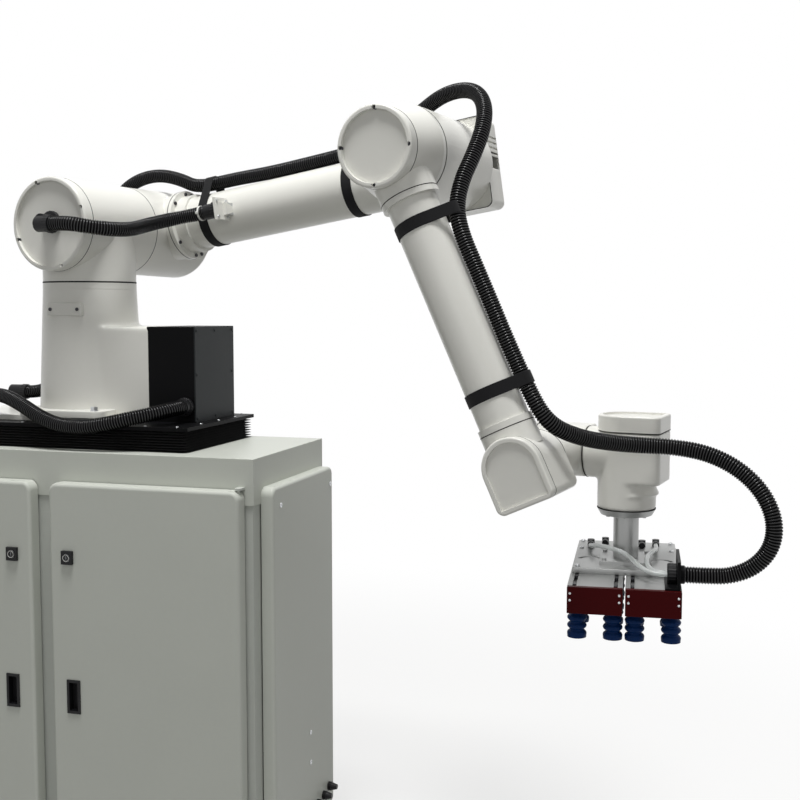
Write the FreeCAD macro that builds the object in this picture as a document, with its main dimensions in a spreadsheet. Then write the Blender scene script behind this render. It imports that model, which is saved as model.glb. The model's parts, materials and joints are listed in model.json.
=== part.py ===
import FreeCAD, Part
import math
import os
import re

import Sketcher

# Palletizing robot: a six-axis arm on a lifting cabinet, with a vacuum gripper.
# The origin is the middle of the cabinet's footprint, on the floor.
# +X runs along the doors to the right, -Y faces the reader, +Z is up.

Vector = FreeCAD.Vector
Placement = FreeCAD.Placement
Rotation = FreeCAD.Rotation
doc = FreeCAD.newDocument("palletizing_robot")

# Driving dimensions, in millimetres and degrees: alias, value, meaning
SIZES = [
    ("cabinet_width", 1030, "outside width of the cabinet"),
    ("cabinet_depth", 418, "outside depth of the cabinet"),
    ("cabinet_height", 1010, "floor to the top face of the cabinet"),
    ("skin", 3, "thickness of the sheet covers"),
    ("band_height", 103, "height of the top cover's side walls"),
    ("frame_foot", 46, "floor to the underside of the frame"),
    ("frame_tube", 40, "outside of the square frame tube"),
    ("frame_wall", 3, "wall of the square frame tube"),
    ("mullion_width", 60, "width of the post between the doors"),
    ("door_bottom", 76, "floor to the lower edge of the doors"),
    ("door_headroom", 68, "doors' top edge to the top of the cabinet"),
    ("door_height", "=cabinet_height - door_headroom - door_bottom", "height of a door"),
    ("door_width", 470, "width of a door"),
    ("door_depth", 33, "thickness of a door"),
    ("door_spacing", 49, "space between the two doors"),
    ("door_standoff", 6, "space between a door and the frame"),
    ("door_corner", 20, "corner radius of the doors and side panels"),
    ("door_edge", 8, "rounding of the front edges of the doors and panels"),
    ("door_skin", 3, "wall of the folded door"),
    ("pivot_inset", 8, "door's outer edge to its pivot"),
    ("pivot_radius", 4, "radius of a door's pivot pin"),
    ("pivot_clearance", 0.08, "running clearance of the pivot pins and guide posts"),
    ("lug_gap", 1, "door edge to its pivot lug"),
    ("lug_thickness", 5, "thickness of a pivot lug"),
    ("lock_inset", 48, "door's inner edge to its lock"),
    ("lock_drop", 168, "door's top edge to its upper lock"),
    ("lock_rise", 54, "door's lower edge to its lower lock"),
    ("lock_width", 28, "width of a lock's square collar"),
    ("lock_tall", 31, "height of a lock's square collar"),
    ("lock_proud", 7, "lock's collar stands proud of the door"),
    ("barrel_radius", 9, "radius of a lock's barrel"),
    ("barrel_clearance", 0.3, "clearance round a lock's barrel"),
    ("cam_length", 62, "length of a lock's cam"),
    ("cam_width", 20, "width of a lock's cam"),
    ("cam_thickness", 4, "thickness of a lock's cam"),
    ("cam_clearance", 2, "cam to the back of the frame tube"),
    ("handle_inset", 56, "door's inner edge to its recessed handle"),
    ("handle_width", 34, "width of the recessed handle"),
    ("handle_tall", 78, "height of the recessed handle"),
    ("handle_pocket", 22, "depth of the recessed handle"),
    ("panel_depth", 29, "thickness of a side panel"),
    ("panel_width", 376, "width of a side panel"),
    ("back_depth", 12, "thickness of the back panel"),
    ("louvre_count", 10, "slots in each louvre field"),
    ("louvre_pitch", 18, "slot to slot in the louvre field"),
    ("louvre_tall", 6, "height of a louvre slot"),
    ("louvre_length", 220, "length of a louvre slot"),
    ("anchor_radius", 7, "radius of an anchor hole"),
    ("anchor_reach", 24, "anchor hole beyond the cabinet's side"),
    ("anchor_spacing", 300, "front anchor hole to rear anchor hole"),
    ("anchor_plate", 12, "thickness of an anchor foot's plate"),
    ("arm_x", -20, "arm's base axis, across"),
    ("arm_y", 18, "arm's base axis, towards the back"),
    ("arm_swing", 8.5, "arm turned towards the front, from the cabinet's line"),
    ("bellows_width", 700, "width of the lift's bellows"),
    ("bellows_depth", 362, "depth of the lift's bellows"),
    ("bellows_stack", 49.5, "height of the folded bellows"),
    ("bellows_wall", 26, "depth of the bellows' folds"),
    ("fold_count", 8, "folds in the bellows"),
    ("plate_thickness", 8, "thickness of the lift's top plate"),
    ("adapter_thickness", 12, "thickness of the adapter plate"),
    ("adapter_left", 330, "adapter plate's reach to the left of the arm's axis"),
    ("adapter_right", 150, "adapter plate's reach to the right"),
    ("adapter_depth", 250, "depth of the adapter plate"),
    ("deck_thickness", 20, "thickness of the lift's guide deck"),
    ("post_radius", 20, "radius of a guide post"),
    ("post_spread", 480, "guide post to guide post, across"),
    ("post_setback", 220, "guide post to guide post, front to back"),
    ("post_length", 720, "length of a guide post"),
    ("bush_radius", 34, "radius of a guide bush"),
    ("bush_length", 120, "length of a guide bush"),
    ("screw_radius", 16, "radius of the lifting screw"),
    ("nut_radius", 32, "radius of the lifting nut"),
    ("screw_clearance", 0.5, "nut to screw"),
    ("unit_side", 60, "cabinet's frame to the controller's case"),
    ("controller_width", 140, "width of the arm's controller"),
    ("controller_depth", 300, "depth of the arm's controller"),
    ("controller_height", 440, "height of the arm's controller"),
    ("vent_count", 8, "vent slots in the controller"),
    ("vent_pitch", 12, "slot to slot in the controller"),
    ("vent_tall", 5, "height of a vent slot"),
    ("pump_width", 170, "width of the vacuum pump's base"),
    ("pump_length", 240, "length of the vacuum pump's base"),
    ("pump_base", 16, "thickness of the vacuum pump's base"),
    ("pump_radius", 72, "radius of the vacuum pump's body"),
    ("pump_motor_radius", 58, "radius of the vacuum pump's motor"),
    ("pump_port_radius", 18, "radius of the vacuum pump's port"),
    ("pedestal_height", 320, "height of the arm's pedestal"),
    ("pedestal_low_radius", 125, "radius of the pedestal at its foot"),
    ("seam_radius", 111, "radius of the pedestal at the turning seam"),
    ("seam_gap", 0.4, "running gap at each turning seam"),
    ("pedestal_flange", 16, "thickness of the pedestal's foot flange"),
    ("pedestal_foot_width", 226, "width of the pedestal's foot flange"),
    ("pedestal_foot_depth", 306, "depth of the pedestal's foot flange"),
    ("pad_width", 102, "width of the pad at the pedestal's front"),
    ("pad_tall", 92, "height of the pad at the pedestal's front"),
    ("pad_drop", 48, "turning seam to the top of the pad"),
    ("pad_place", -33, "arm's axis to the middle of the pad"),
    ("pad_screw_pitch", 67, "screw to screw on the pad"),
    ("box_left", 191, "arm's axis to the junction box"),
    ("box_width", 126, "width of the junction box"),
    ("box_front", -65, "front face of the junction box from the arm's axis"),
    ("box_depth", 208, "depth of the junction box"),
    ("box_height", 225, "height of the junction box"),
    ("shoulder_height", 134, "turning seam to the shoulder axis"),
    ("shoulder_radius", 110, "radius of the shoulder barrel"),
    ("shoulder_front", 111.5, "shoulder axis to the front of its barrel"),
    ("shoulder_seam", 127, "arm's plane to the shoulder's turning seam"),
    ("cover_depth", 29, "depth of the round covers"),
    ("cover_recess", 9, "recess in the face of a cover"),
    ("cover_rim", 10, "width of a cover's rim"),
    ("casting_wall", 12, "wall of the arm's castings"),
    ("upper_root_radius", 114, "radius of the upper arm's root housing"),
    ("upper_root_length", 243, "length of the upper arm's root housing"),
    ("upper_plane", 247, "arm's plane to the upper arm's centre line"),
    ("upper_arm_length", 865, "shoulder axis to elbow axis"),
    ("upper_arm_tilt", 8.4, "upper arm above level"),
    ("upper_tube_radius", 66.7, "radius of the upper arm's tube"),
    ("upper_tube_wall", 6, "wall of the upper arm's tube"),
    ("upper_flange_radius", 88, "radius of the upper arm's flanges"),
    ("upper_flange_place", 119, "joint axis to the upper arm's flange joint"),
    ("flange_thickness", 11, "thickness of the arm's flanges"),
    ("elbow_seam", -15, "arm's plane to the elbow's turning seam"),
    ("elbow_radius", 105, "radius of the elbow's drive housing"),
    ("elbow_drive_end", 250, "arm's plane to the end of the drive housing"),
    ("elbow_cover_depth", 92, "depth of the finned drive cover"),
    ("fin_count", 6, "cooling slots in the drive cover"),
    ("fin_pitch", 12, "slot to slot in the drive cover"),
    ("elbow_front", -118, "front of the forearm's root housing"),
    ("elbow_small_radius", 84, "radius of the elbow's round cover"),
    ("forearm_plane", -71, "arm's plane to the forearm's centre line"),
    ("forearm_length", 701, "elbow axis to the first wrist axis"),
    ("forearm_tilt", 65.2, "forearm below level"),
    ("forearm_radius", 53.4, "radius of the forearm's tube"),
    ("forearm_wall", 5, "wall of the forearm's tube"),
    ("collar_radius", 62, "radius of the forearm's collar"),
    ("collar_place", 107, "elbow axis to the collar joint"),
    ("wrist_flange_place", 79, "first wrist axis to the forearm's end flange"),
    ("wrist_radius", 62.5, "radius of the wrist housings"),
    ("wrist_flat", 80, "wrist axis to the flat end of a housing"),
    ("wrist_corner", 16, "corner radius of a wrist housing"),
    ("wrist_stub_radius", 56, "radius of the stubs between the wrists"),
    ("wrist_seam_y", 20, "arm's plane to the first wrist's seam"),
    ("wrist_cover_depth", 23, "depth of the covers on the first two wrists"),
    ("wrist_plane", 201, "arm's plane to the second wrist axis"),
    ("second_seam", 58, "first wrist axis to the second wrist's seam"),
    ("tool_offset", 143.5, "first wrist axis to the tool axis"),
    ("tool_swing", 4.8, "gripper turned from the cabinet's line"),
    ("third_top", 50, "second wrist axis to the top of the third housing"),
    ("third_cover", 35, "depth of the third wrist's cover"),
    ("third_seam", 119, "second wrist axis to the tool's turning seam"),
    ("tool_flange", 13, "thickness of the tool flange"),
    ("tool_flange_radius", 55, "lower radius of the tool flange"),
    ("column_radius", 27, "radius of the tool column"),
    ("column_wall", 5, "wall of the tool column"),
    ("column_length", 95, "length of the tool column"),
    ("column_foot", 110, "side of the tool column's square foot"),
    ("foot_thickness", 8, "thickness of the column's foot"),
    ("mount_thickness", 12.5, "thickness of the gripper's mounting plate"),
    ("mount_width", 208, "width of the gripper's mounting plate"),
    ("mount_depth", 112, "depth of the gripper's mounting plate"),
    ("gripper_width", 226, "width over both gripper bars"),
    ("gripper_gap", 5, "space between the gripper bars"),
    ("gripper_depth", 424, "length of the gripper"),
    ("gripper_height", 54.5, "height of the gripper bars"),
    ("cap_thickness", 12, "thickness of the gripper's end caps"),
    ("slot_width", 8, "width of the slots in the gripper bars"),
    ("slot_depth", 9, "depth of the slots in the gripper bars"),
    ("cup_radius", 20, "radius of a suction cup"),
    ("cup_height", 56, "height of a suction cup"),
    ("cup_folds", 3, "folds in a suction cup"),
    ("cup_rows", 4, "rows of suction cups"),
    ("cup_row_pitch", 118, "row to row of suction cups"),
    ("cup_pair_pitch", 72, "cup to cup across one bar"),
    ("hose_radius", 17.2, "outer radius of the corrugated hose"),
    ("air_tube_radius", 5, "radius of the air tubes"),
    ("gland_radius", 21, "radius of a hose gland's nut"),
]

sheet = doc.addObject("Spreadsheet::Sheet", "Sizes")
for row, (alias, value, meaning) in enumerate(SIZES, start=1):
    sheet.set(f"A{row}", str(value))
    sheet.set(f"B{row}", meaning)
    sheet.setAlias(f"A{row}", alias)
doc.recompute()

ALIAS = re.compile(r"\b(" + "|".join(alias for alias, _, _ in SIZES) + r")\b")
AXES = {
    "x": Rotation(Vector(0, 1, 0), 90),
    "y": Rotation(Vector(1, 0, 0), -90),
    "z": Rotation(),
}
nodes = []


def size(alias):
    """The value of one cell of the sheet."""
    return float(sheet.get(alias))


def bind(item, prop, rule):
    """Ties a property to a rule written with the sheet's aliases."""
    item.setExpression(prop, ALIAS.sub(r"Sizes.\1", str(rule)))


def place(item, corner):
    for axis, rule in zip("xyz", corner):
        bind(item, f"Placement.Base.{axis}", rule)


def box(name, length, width, height, corner=(0, 0, 0)):
    """A block from its lowest corner, each size and coordinate a rule."""
    item = doc.addObject("Part::Box", name)
    for prop, rule in (("Length", length), ("Width", width), ("Height", height)):
        bind(item, prop, rule)
    place(item, corner)
    return item


def rod(name, radius, length, start=(0, 0, 0), axis="z"):
    """A cylinder that runs from its start along +x, +y or +z."""
    item = doc.addObject("Part::Cylinder", name)
    item.Placement = Placement(Vector(), AXES[axis])
    bind(item, "Radius", radius)
    bind(item, "Height", length)
    place(item, start)
    return item


def taper(name, first, second, length, start=(0, 0, 0), axis="z"):
    """A cone from the first radius to the second along +x, +y or +z."""
    item = doc.addObject("Part::Cone", name)
    item.Placement = Placement(Vector(), AXES[axis])
    bind(item, "Radius1", first)
    bind(item, "Radius2", second)
    bind(item, "Height", length)
    place(item, start)
    return item


def fuse(name, *items):
    result = doc.addObject("Part::MultiFuse", name)
    result.Shapes = list(items)
    return result


def group(name, *items):
    """Separate solids that share one node."""
    result = doc.addObject("Part::Compound", name)
    result.Links = list(items)
    return result


def carve(name, body, *tools):
    tool = tools[0] if len(tools) == 1 else group(name + "_tools", *tools)
    result = doc.addObject("Part::Cut", name)
    result.Base = body
    result.Tool = tool
    return result


def soften(name, item, radius, wanted):
    """Rounds the edges that wanted() picks from the item's shape."""
    doc.recompute()
    result = doc.addObject("Part::Fillet", name)
    result.Base = item
    edges = enumerate(item.Shape.Edges, start=1)
    result.Edges = [(number, radius, radius) for number, edge in edges if wanted(edge)]
    return result


def along(edge, axis):
    """Whether a straight edge runs along an axis, 0 for x, 1 for y and 2 for z."""
    if edge.Curve.TypeId != "Part::GeomLine":
        return False
    return abs(edge.tangentAt(edge.FirstParameter)[axis]) > 0.999


def on_face(axis, level):
    """Picks the edges that lie in the plane where the axis has this value."""
    def wanted(edge):
        bounds = edge.BoundBox
        low = (bounds.XMin, bounds.YMin, bounds.ZMin)[axis]
        high = (bounds.XMax, bounds.YMax, bounds.ZMax)[axis]
        return abs(low - level) < 0.01 and abs(high - level) < 0.01
    return wanted


def solid(name, shape):
    """A sub-part whose form Part's own functions make from the sheet's values."""
    result = doc.addObject("Part::Feature", name)
    result.Shape = shape
    return result


def node(item, label, frame=None):
    """Names a finished sub-part and sets it in its link's frame."""
    item.Label = label
    if frame is not None:
        item.Placement = frame.multiply(item.Placement)
    nodes.append(item)
    return item


def shift(x, y, z):
    return Placement(Vector(x, y, z), Rotation())


# The frames of the lift and of the arm's links, each at its own joint axis
plate_top = size("cabinet_height") + size("bellows_stack") + size("plate_thickness")
seam_z = plate_top + size("adapter_thickness") + size("pedestal_height")
LIFT = shift(size("arm_x"), size("arm_y"), plate_top)
ARM = Placement(
    Vector(size("arm_x"), size("arm_y"), seam_z),
    Rotation(Vector(0, 0, 1), -size("arm_swing")),
)
UPPER = ARM.multiply(Placement(
    Vector(0, 0, size("shoulder_height")),
    Rotation(Vector(0, 1, 0), -size("upper_arm_tilt")),
))
upper_tilt = math.radians(size("upper_arm_tilt"))
forearm_tilt = math.radians(size("forearm_tilt"))
elbow_x = size("upper_arm_length") * math.cos(upper_tilt)
elbow_z = size("shoulder_height") + size("upper_arm_length") * math.sin(upper_tilt)
wrist_x = elbow_x + size("forearm_length") * math.cos(forearm_tilt)
wrist_z = elbow_z - size("forearm_length") * math.sin(forearm_tilt)
FOREARM = ARM.multiply(Placement(
    Vector(elbow_x, 0, elbow_z),
    Rotation(Vector(0, 1, 0), size("forearm_tilt")),
))
WRIST = ARM.multiply(shift(wrist_x, 0, wrist_z))
THIRD = WRIST.multiply(shift(size("tool_offset"), size("wrist_plane"), 0))
TOOL = THIRD.multiply(Placement(
    Vector(), Rotation(Vector(0, 0, 1), size("arm_swing") + size("tool_swing"))))


# Cabinet frame: four corner posts, the post between the doors and two rings of rails,
# each a cut length of tube that meets its neighbours face to face

def square_tube(name, length, corner, axis):
    """A hollow square tube along an axis from its lowest corner."""
    outer = {"x": (length, "frame_tube", "frame_tube"),
             "y": ("frame_tube", length, "frame_tube"),
             "z": ("frame_tube", "frame_tube", length)}[axis]
    core = "frame_tube - 2 * frame_wall"
    inner = {"x": (length, core, core),
             "y": (core, length, core),
             "z": (core, core, length)}[axis]
    inset = [f"{rule} + frame_wall" for rule in corner]
    inset["xyz".index(axis)] = corner["xyz".index(axis)]
    shell = box(name + "_outside", *outer, corner)
    bore = box(name + "_inside", *inner, inset)
    return carve(name, shell, bore)


frame_top = "(cabinet_height - band_height)"
frame_left = "(-cabinet_width / 2 + skin)"
frame_right = "(cabinet_width / 2 - skin - frame_tube)"
frame_front = "(-cabinet_depth / 2 + skin)"
frame_back = "(cabinet_depth / 2 - skin - frame_tube)"
ring_length = "cabinet_width - 2 * skin - 2 * frame_tube"
ring_depth = "cabinet_depth - 2 * skin - 2 * frame_tube"
tubes = []
for side, across in (("left", frame_left), ("right", frame_right)):
    for end, depth in (("front", frame_front), ("back", frame_back)):
        tubes.append(square_tube(f"{side}_{end}_post", f"{frame_top} - frame_foot",
                                 (across, depth, "frame_foot"), "z"))
    for ring, level in (("low", "frame_foot"), ("high", f"{frame_top} - frame_tube")):
        tubes.append(square_tube(f"{side}_{ring}_rail", ring_depth,
                                 (across, f"{frame_front} + frame_tube", level), "y"))
for end, depth in (("front", frame_front), ("back", frame_back)):
    for ring, level in (("low", "frame_foot"), ("high", f"{frame_top} - frame_tube")):
        tubes.append(square_tube(f"{end}_{ring}_rail", ring_length,
                                 (f"{frame_left} + frame_tube", depth, level), "x"))
mullion = box("mullion", "mullion_width", "frame_tube",
              f"{frame_top} - frame_foot - 2 * frame_tube",
              ("-mullion_width / 2", frame_front, "frame_foot + frame_tube"))
mullion_core = box("mullion_core", "mullion_width - 2 * frame_wall",
                   "frame_tube - 2 * frame_wall",
                   f"{frame_top} - frame_foot - 2 * frame_tube",
                   ("-mullion_width / 2 + frame_wall", f"{frame_front} + frame_wall",
                    "frame_foot + frame_tube"))
tubes.append(carve("mullion_tube", mullion, mullion_core))

# Each door turns on a pin in two lugs that stand forward from the frame
pivot_x = "(door_spacing / 2 + door_width - pivot_inset)"
pivot_y = f"({frame_front} - door_standoff - door_depth / 2 + door_edge / 2)"


def pivot_lug(tag, sign, level, root):
    """A lug that stands forward from the root to a door's pivot, with the pin's bore."""
    centre = (f"{sign} * {pivot_x}", pivot_y, level)
    arm = box(tag + "_arm", "4 * pivot_radius", f"{root} - {pivot_y}", "lug_thickness",
              (f"{sign} * {pivot_x} - 2 * pivot_radius", pivot_y, level))
    eye = rod(tag + "_eye", "2 * pivot_radius", "lug_thickness", centre)
    bore = rod(tag + "_bore", "pivot_radius + pivot_clearance", "lug_thickness", centre)
    return carve(tag, fuse(tag + "_blank", arm, eye), bore)


base_sheet = box("base_sheet", ring_length, ring_depth, "skin",
                 (f"{frame_left} + frame_tube", f"{frame_front} + frame_tube",
                  "frame_foot + frame_tube - skin"))
node(group("base_frame", *tubes, base_sheet), "base_frame")

lugs = []
for side, sign in (("left", -1), ("right", 1)):
    lugs.append(pivot_lug(f"{side}_low_lug", sign, "door_bottom - lug_gap - lug_thickness",
                          frame_front))
    lugs.append(pivot_lug(f"{side}_high_lug", sign, "door_bottom + door_height + lug_gap",
                          "-cabinet_depth / 2"))
node(group("door_lugs", *lugs), "door_lugs")

# Anchor feet: a block under each corner post on a plate that is bolted to the floor
feet = []
for side, sign in (("left", -1), ("right", 1)):
    for end, along_y in (("front", -1), ("back", 1)):
        tag = f"{side}_{end}_foot"
        reach = "(cabinet_width / 2 - skin - 2 * frame_tube)"
        length = f"cabinet_width / 2 + 2 * anchor_reach - {reach}"
        low_x = reach if sign > 0 else f"-{reach} - ({length})"
        plate = box(tag + "_plate", length, "2 * frame_tube", "anchor_plate",
                    (low_x, f"{along_y} * anchor_spacing / 2 - frame_tube", 0))
        block = box(tag + "_block", "frame_tube", "frame_tube", "frame_foot",
                    (frame_right if sign > 0 else frame_left,
                     f"{along_y} * (anchor_spacing / 2 + frame_tube / 2) - frame_tube / 2", 0))
        hole = rod(tag + "_hole", "anchor_radius", "anchor_plate",
                   (f"{sign} * (cabinet_width / 2 + anchor_reach)",
                    f"{along_y} * anchor_spacing / 2", 0))
        feet.append(carve(tag, fuse(tag + "_blank", plate, block), hole))
node(group("anchor_feet", *feet), "anchor_feet")

# Top cover: a folded tray upside down, open where the lift comes through
cover_block = box("top_block", "cabinet_width", "cabinet_depth", "band_height",
                  ("-cabinet_width / 2", "-cabinet_depth / 2", frame_top))
cover_hollow = box("top_hollow", "cabinet_width - 2 * skin", "cabinet_depth - 2 * skin",
                   "band_height - skin", (frame_left, frame_front, frame_top))
lift_opening = box("lift_opening", "bellows_width - 2 * bellows_wall",
                   "bellows_depth - 2 * bellows_wall", "2 * skin",
                   ("arm_x - bellows_width / 2 + bellows_wall",
                    "arm_y - bellows_depth / 2 + bellows_wall", "cabinet_height - 1.5 * skin"))
tray = carve("top_tray", cover_block, cover_hollow, lift_opening)
tray = soften("top_tray_edge", tray, size("skin") / 2, on_face(2, size("cabinet_height")))
node(tray, "top_cover")

# Side panels: thick rounded slabs on the posts, hollow behind
panels = []
panel_low_y = "(cabinet_depth / 2 - skin - panel_width)"
for side, sign in (("left", -1), ("right", 1)):
    inner_face = "(cabinet_width / 2)"
    low_x = inner_face if sign > 0 else f"-{inner_face} - panel_depth"
    slab = box(side + "_slab", "panel_depth", "panel_width", "door_height",
               (low_x, panel_low_y, "door_bottom"))
    slab = soften(side + "_slab_corners", slab, size("door_corner"), lambda edge: along(edge, 0))
    outer_level = sign * (size("cabinet_width") / 2 + size("panel_depth"))
    slab = soften(side + "_slab_edge", slab, size("door_edge"), on_face(0, outer_level))
    pocket_x = inner_face if sign > 0 else f"-{inner_face} - panel_depth + door_skin"
    pocket = box(side + "_slab_pocket", "panel_depth - door_skin",
                 "panel_width - 2 * door_corner", "door_height - 2 * door_corner",
                 (pocket_x, f"{panel_low_y} + door_corner", "door_bottom + door_corner"))
    panels.append(carve(side + "_panel", slab, pocket))
node(group("side_panels", *panels), "side_panels")

# Back panel: one sheet with two louvre fields
back_y = "(cabinet_depth / 2)"
back = box("back_blank", "cabinet_width - 4 * skin - frame_tube", "back_depth", "door_height",
           ("-(cabinet_width - 4 * skin - frame_tube) / 2", back_y, "door_bottom"))
back = soften("back_corners", back, size("door_corner"), lambda edge: along(edge, 1))
pocket = box("back_pocket", "cabinet_width - 4 * frame_tube", "back_depth - skin",
             "door_height - 3 * frame_tube",
             ("-(cabinet_width - 4 * frame_tube) / 2", back_y, "door_bottom + 1.5 * frame_tube"))
slots = []
for side, sign in (("left", -1), ("right", 1)):
    for number in range(int(size("louvre_count"))):
        slots.append(box(f"{side}_louvre_{number + 1}", "louvre_length", "2 * back_depth",
                         "louvre_tall",
                         (f"{sign} * louvre_length - louvre_length / 2", back_y,
                          f"door_bottom + door_height / 2 + {number} * louvre_pitch")))
node(carve("back_panel", back, pocket, *slots), "back_panel")


# Doors: folded slabs with rounded corners, pinned at their outer edges

lock_levels = {"upper": "(door_bottom + door_height - lock_drop)",
               "lower": "(door_bottom + lock_rise)"}
door_back = f"({frame_front} - door_standoff)"
door_face = f"({frame_front} - door_standoff - door_depth)"
handle_level = f"(({lock_levels['upper']} + {lock_levels['lower']}) / 2)"
mullion_back = f"({frame_front} + frame_tube)"


def make_door(side, sign):
    inner = "(door_spacing / 2)"
    low_x = inner if sign > 0 else f"-{inner} - door_width"
    slab = box(side + "_door_slab", "door_width", "door_depth", "door_height",
               (low_x, door_face, "door_bottom"))
    slab = soften(side + "_door_corners", slab, size("door_corner"),
                  lambda edge: along(edge, 1))
    level = (-size("cabinet_depth") / 2 + size("skin") - size("door_standoff")
             - size("door_depth"))
    slab = soften(side + "_door_edge", slab, size("door_edge"), on_face(1, level))
    pocket = box(side + "_door_pocket", "door_width - 2 * door_corner",
                 "door_depth - door_skin", "door_height - 2 * door_corner",
                 (f"{low_x} + door_corner", f"{door_face} + door_skin",
                  "door_bottom + door_corner"))
    cuts = [pocket]
    for place_name, level in lock_levels.items():
        cuts.append(rod(f"{side}_{place_name}_lock_hole", "barrel_radius + 2 * barrel_clearance",
                        "door_depth", (f"{sign} * (door_spacing / 2 + lock_inset)",
                                       f"{door_face} - 1", level), "y"))
    cuts.append(box(f"{side}_handle_hole", "handle_width - 2 * door_skin", "door_depth",
                    "handle_tall - 2 * door_skin",
                    (f"{sign} * (door_spacing / 2 + handle_inset) - handle_width / 2 + door_skin",
                     f"{door_face} - 1", f"{handle_level} - handle_tall / 2 + door_skin")))
    shell = carve(side + "_door_shell", slab, *cuts)
    pin_length = "2 * (lug_gap + lug_thickness)"
    pins = [rod(f"{side}_{end}_pin", "pivot_radius", pin_length,
                (f"{sign} * {pivot_x}", pivot_y, level))
            for end, level in (("low", "door_bottom - lug_gap - lug_thickness"),
                               ("high", "door_bottom + door_height - lug_gap - lug_thickness"))]
    node(fuse(side + "_door_panel", shell, *pins), side + "_door_panel")


def make_door_fittings(side, sign):
    """The black parts on a door: two square lock collars and the recessed handle."""
    parts = []
    lock_x = f"{sign} * (door_spacing / 2 + lock_inset)"
    for place_name, level in lock_levels.items():
        tag = f"{side}_{place_name}_lock"
        collar = box(tag + "_collar", "lock_width", "lock_proud", "lock_tall",
                     (f"{lock_x} - lock_width / 2", f"{door_face} - lock_proud",
                      f"{level} - lock_tall / 2"))
        bore = rod(tag + "_bore", "barrel_radius + barrel_clearance", "2 * lock_proud",
                   (lock_x, f"{door_face} - 1.5 * lock_proud", level), "y")
        parts.append(carve(tag, collar, bore))
    handle_x = f"{sign} * (door_spacing / 2 + handle_inset)"
    rim = box(side + "_handle_rim", "handle_width", "door_skin", "handle_tall",
              (f"{handle_x} - handle_width / 2", f"{door_face} - door_skin",
               f"{handle_level} - handle_tall / 2"))
    cup = box(side + "_handle_cup", "handle_width - 2.2 * door_skin", "handle_pocket",
              "handle_tall - 2.2 * door_skin",
              (f"{handle_x} - handle_width / 2 + 1.1 * door_skin", f"{door_face} - door_skin",
               f"{handle_level} - handle_tall / 2 + 1.1 * door_skin"))
    hollow = box(side + "_handle_hollow", "handle_width - 4 * door_skin",
                 "handle_pocket - door_skin", "handle_tall - 4 * door_skin",
                 (f"{handle_x} - handle_width / 2 + 2 * door_skin",
                  f"{door_face} - 1.5 * door_skin",
                  f"{handle_level} - handle_tall / 2 + 2 * door_skin"))
    parts.append(carve(side + "_handle", fuse(side + "_handle_blank", rim, cup), hollow))
    node(group(side + "_door_fittings", *parts), side + "_door_fittings")


def make_lock(side, sign, place_name):
    """A quarter-turn lock: a slotted barrel through the door and a cam behind it."""
    tag = f"{side}_{place_name}_cam"
    level = lock_levels[place_name]
    lock_x = f"{sign} * (door_spacing / 2 + lock_inset)"
    cam_y = f"({mullion_back} + cam_clearance)"
    front = f"({door_face} - lock_proud - door_skin / 3)"
    barrel = rod(tag + "_barrel", "barrel_radius", f"{cam_y} + cam_thickness - {front}",
                 (lock_x, front, level), "y")
    key_slot = box(tag + "_slot", "barrel_radius / 4", "2 * door_skin", "barrel_radius",
                   (f"{lock_x} - barrel_radius / 8", f"{front} - door_skin",
                    f"{level} - barrel_radius / 2"))
    blade = box(tag + "_blade", "cam_width", "cam_thickness", "cam_length",
                (f"{lock_x} - cam_width / 2", cam_y, f"{level} - cam_width / 2"))
    node(fuse(tag, carve(tag + "_keyed", barrel, key_slot), blade), tag)


for side, sign in (("left", -1), ("right", 1)):
    make_door(side, sign)
    make_door_fittings(side, sign)
    for place_name in lock_levels:
        make_lock(side, sign, place_name)


# Lift: guide deck in the cabinet, four posts, a screw with its motor and a yoke with the nut

deck_top = f"({frame_top} + deck_thickness)"
post_places = [(f"arm_x + {sign_x} * post_spread / 2", f"arm_y + {sign_y} * post_setback / 2")
               for sign_x in (-1, 1) for sign_y in (-1, 1)]
deck_parts = [box("deck_plate", "bellows_width", "cabinet_depth - 2 * skin", "deck_thickness",
                  ("arm_x - bellows_width / 2", frame_front, frame_top))]
deck_cuts = []
for number, (post_x, post_y) in enumerate(post_places, start=1):
    deck_parts.append(rod(f"bush_{number}", "bush_radius", "bush_length",
                          (post_x, post_y, f"{deck_top} + deck_thickness - bush_length")))
    deck_cuts.append(rod(f"bush_bore_{number}", "post_radius + pivot_clearance",
                         "2 * bush_length", (post_x, post_y, f"{frame_top} - bush_length")))
deck_parts.append(rod("top_bearing", "nut_radius", "3 * deck_thickness",
                      ("arm_x", "arm_y", f"{frame_top} - 2 * deck_thickness")))
deck_cuts.append(rod("top_bearing_bore", "screw_radius + pivot_clearance", "6 * deck_thickness",
                     ("arm_x", "arm_y", f"{frame_top} - 3 * deck_thickness")))
node(carve("lift_guide_deck", fuse("deck_blank", *deck_parts), *deck_cuts), "lift_guide_deck")

plate_low = "(cabinet_height + bellows_stack)"
posts = [rod(f"guide_post_{number}", "post_radius", "post_length",
             (post_x, post_y, f"{plate_low} - post_length"))
         for number, (post_x, post_y) in enumerate(post_places, start=1)]
node(group("guide_posts", *posts), "guide_posts")

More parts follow.
